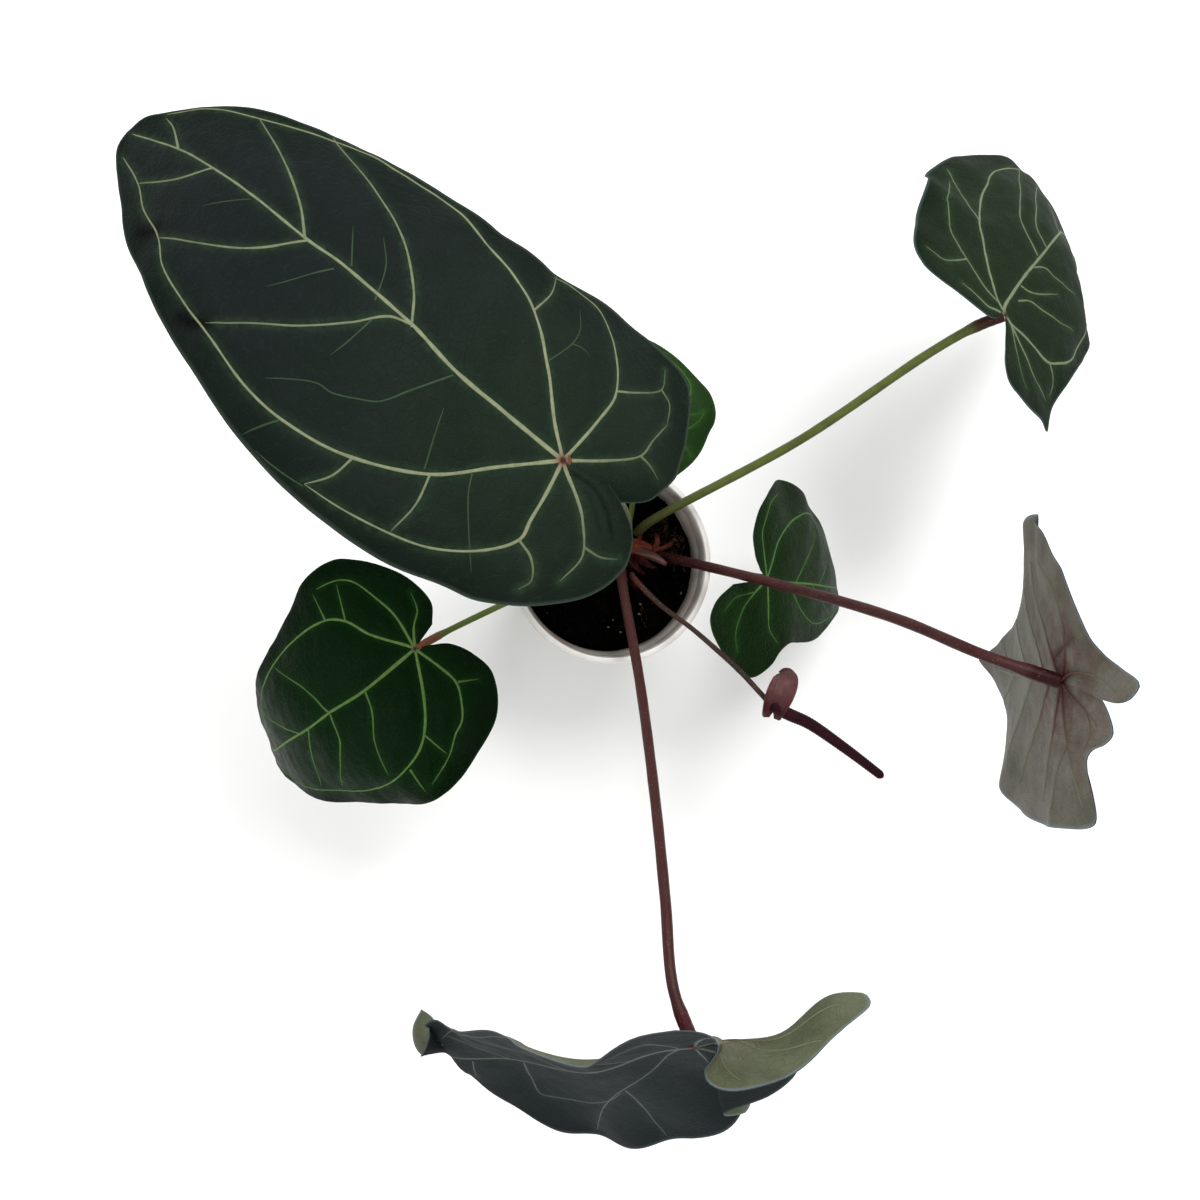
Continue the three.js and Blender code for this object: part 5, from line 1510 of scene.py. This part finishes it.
def spadix_colour(tree):
    tone = mixed(tree, ranged(tree, noise(tree, 6, 3), 0.35, 0.7), "1c060d", "280a13")
    return mixed(tree, ranged(tree, attribute(tree, "cell"), 0.25, 0.9, 0.0, 0.5), tone, "3c1a24")


points, faces, shares, turns = rod(rod_path(SPADIX, 0.28), spadix_radius, 56)
spadix_skin = finish_of(
    "dark_spadix", spadix_colour, 0.55, lambda tree: noise(tree, 0.5, 3), 0.12, Specular_IOR_Level=0.06
)
values = dict(cell=crossing_spirals(shares, turns))
make_piece("spadix_rod", "spadix", "spadix", points, faces, [spadix_skin], values=values)

# %% Flower stalk
STALK_RIDGES = 5


def flower_stalk_radius(share, turn):
    return radii_between([2.08, 1.6, 1.6, 1.6])(share) * (1 + 0.04 * np.sin(STALK_RIDGES * turn))


points, faces, shares, turns = rod(rod_path(PEDUNCLE, 1.0)[:-2], flower_stalk_radius, 20)
thin_stalk = stalk_finish("flower_stalk_skin", "4c2c20", "342824", "1c1a1a", "8c8c84")
dark_end = np.clip((shares - 0.5) * 2, 0, 1)
values = dict(along=shares, joint=dark_end, line=0.5 + 0.5 * np.sin(STALK_RIDGES * turns))
make_piece("flower_stalk", "peduncle", "flower_stalk", points, faces, [thin_stalk], values=values)

# %% [markdown]
# The spathe is a leaf too, so the sheet and the net serve again, with finer rows, and with faint
# lengthwise veins in its colour instead of ribbons.

# %% Spathe
SPATHE_EDGE = [[-5, 1.5], [-2.5, 6], [8, 8.5], [20, 7.5], [32, 5], [44, 0]]
SPATHE = dict(
    facing=[-0.2, 0.3, 1], half=9, hub=1, left=SPATHE_EDGE, right=SPATHE_EDGE,
    rib=[[85, -99, 181, 0, 10, 10, 70, 70], [85, -93, 187, 0, 10, 10, 70, 70],
         [88, -82, 192, 0, 8, 8, 30, 30], [92, -73, 190, 0, 0, 0, 0, 0],
         [94, -69, 180, 0, 0, 0, -20, -20], [93, -70, 165, 0, 0, 0, -10, -10]],
)
spathe_sheet = Sheet(SPATHE)
flat, triangles, loops, _ = blade_net(SPATHE, 14, 60, 16)
height = 0.08 * np.sin(flat[:, 1] * 2.6)
points = np.concatenate([spathe_sheet.raised(flat, height), spathe_sheet.raised(flat, height - THICKNESS)])
faces = np.concatenate([triangles, triangles[:, ::-1] + len(flat)]).tolist()
faces += rim_between(loops, len(flat)).tolist()


def spathe_colour(tree):
    wave = {"Vector": leaf_grid(tree), "Scale": 5.0, "Distortion": 1.5}
    stripe = put(tree, "TexWave", wave, bands_direction="Y").outputs["Fac"]
    tone = mixed(tree, ranged(tree, noise(tree, 5, 4), 0.3, 0.7), "4a2729", "5c3738")
    tone = mixed(tree, times(tree, stripe, 0.3), tone, "3c3a32")
    along = put(tree, "SeparateXYZ", {"Vector": leaf_grid(tree)}).outputs["X"]
    return mixed(tree, ranged(tree, along, 0.0, 0.13, 0.9, 0.0), tone, "34090f")


dusty = finish_of(
    "dusty_spathe", spathe_colour, 0.5, lambda tree: noise(tree, 1.0, 3), 0.1, Specular_IOR_Level=0.15
)
both_skins = np.concatenate([flat, flat])
make_piece("turned_back_spathe", "spathe", "spathe", points, faces, [dusty], flat=both_skins)

# %% [markdown]
# ## Size
# The dressed plant must fit the box of the solids, so both boxes are written down to compare.

# %% Finish
dressed_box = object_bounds()
past_box = (np.array(dressed_box) - np.array(cad_box)) / MM
print("visual box minus solid box, mm:", past_box.round(2).tolist())
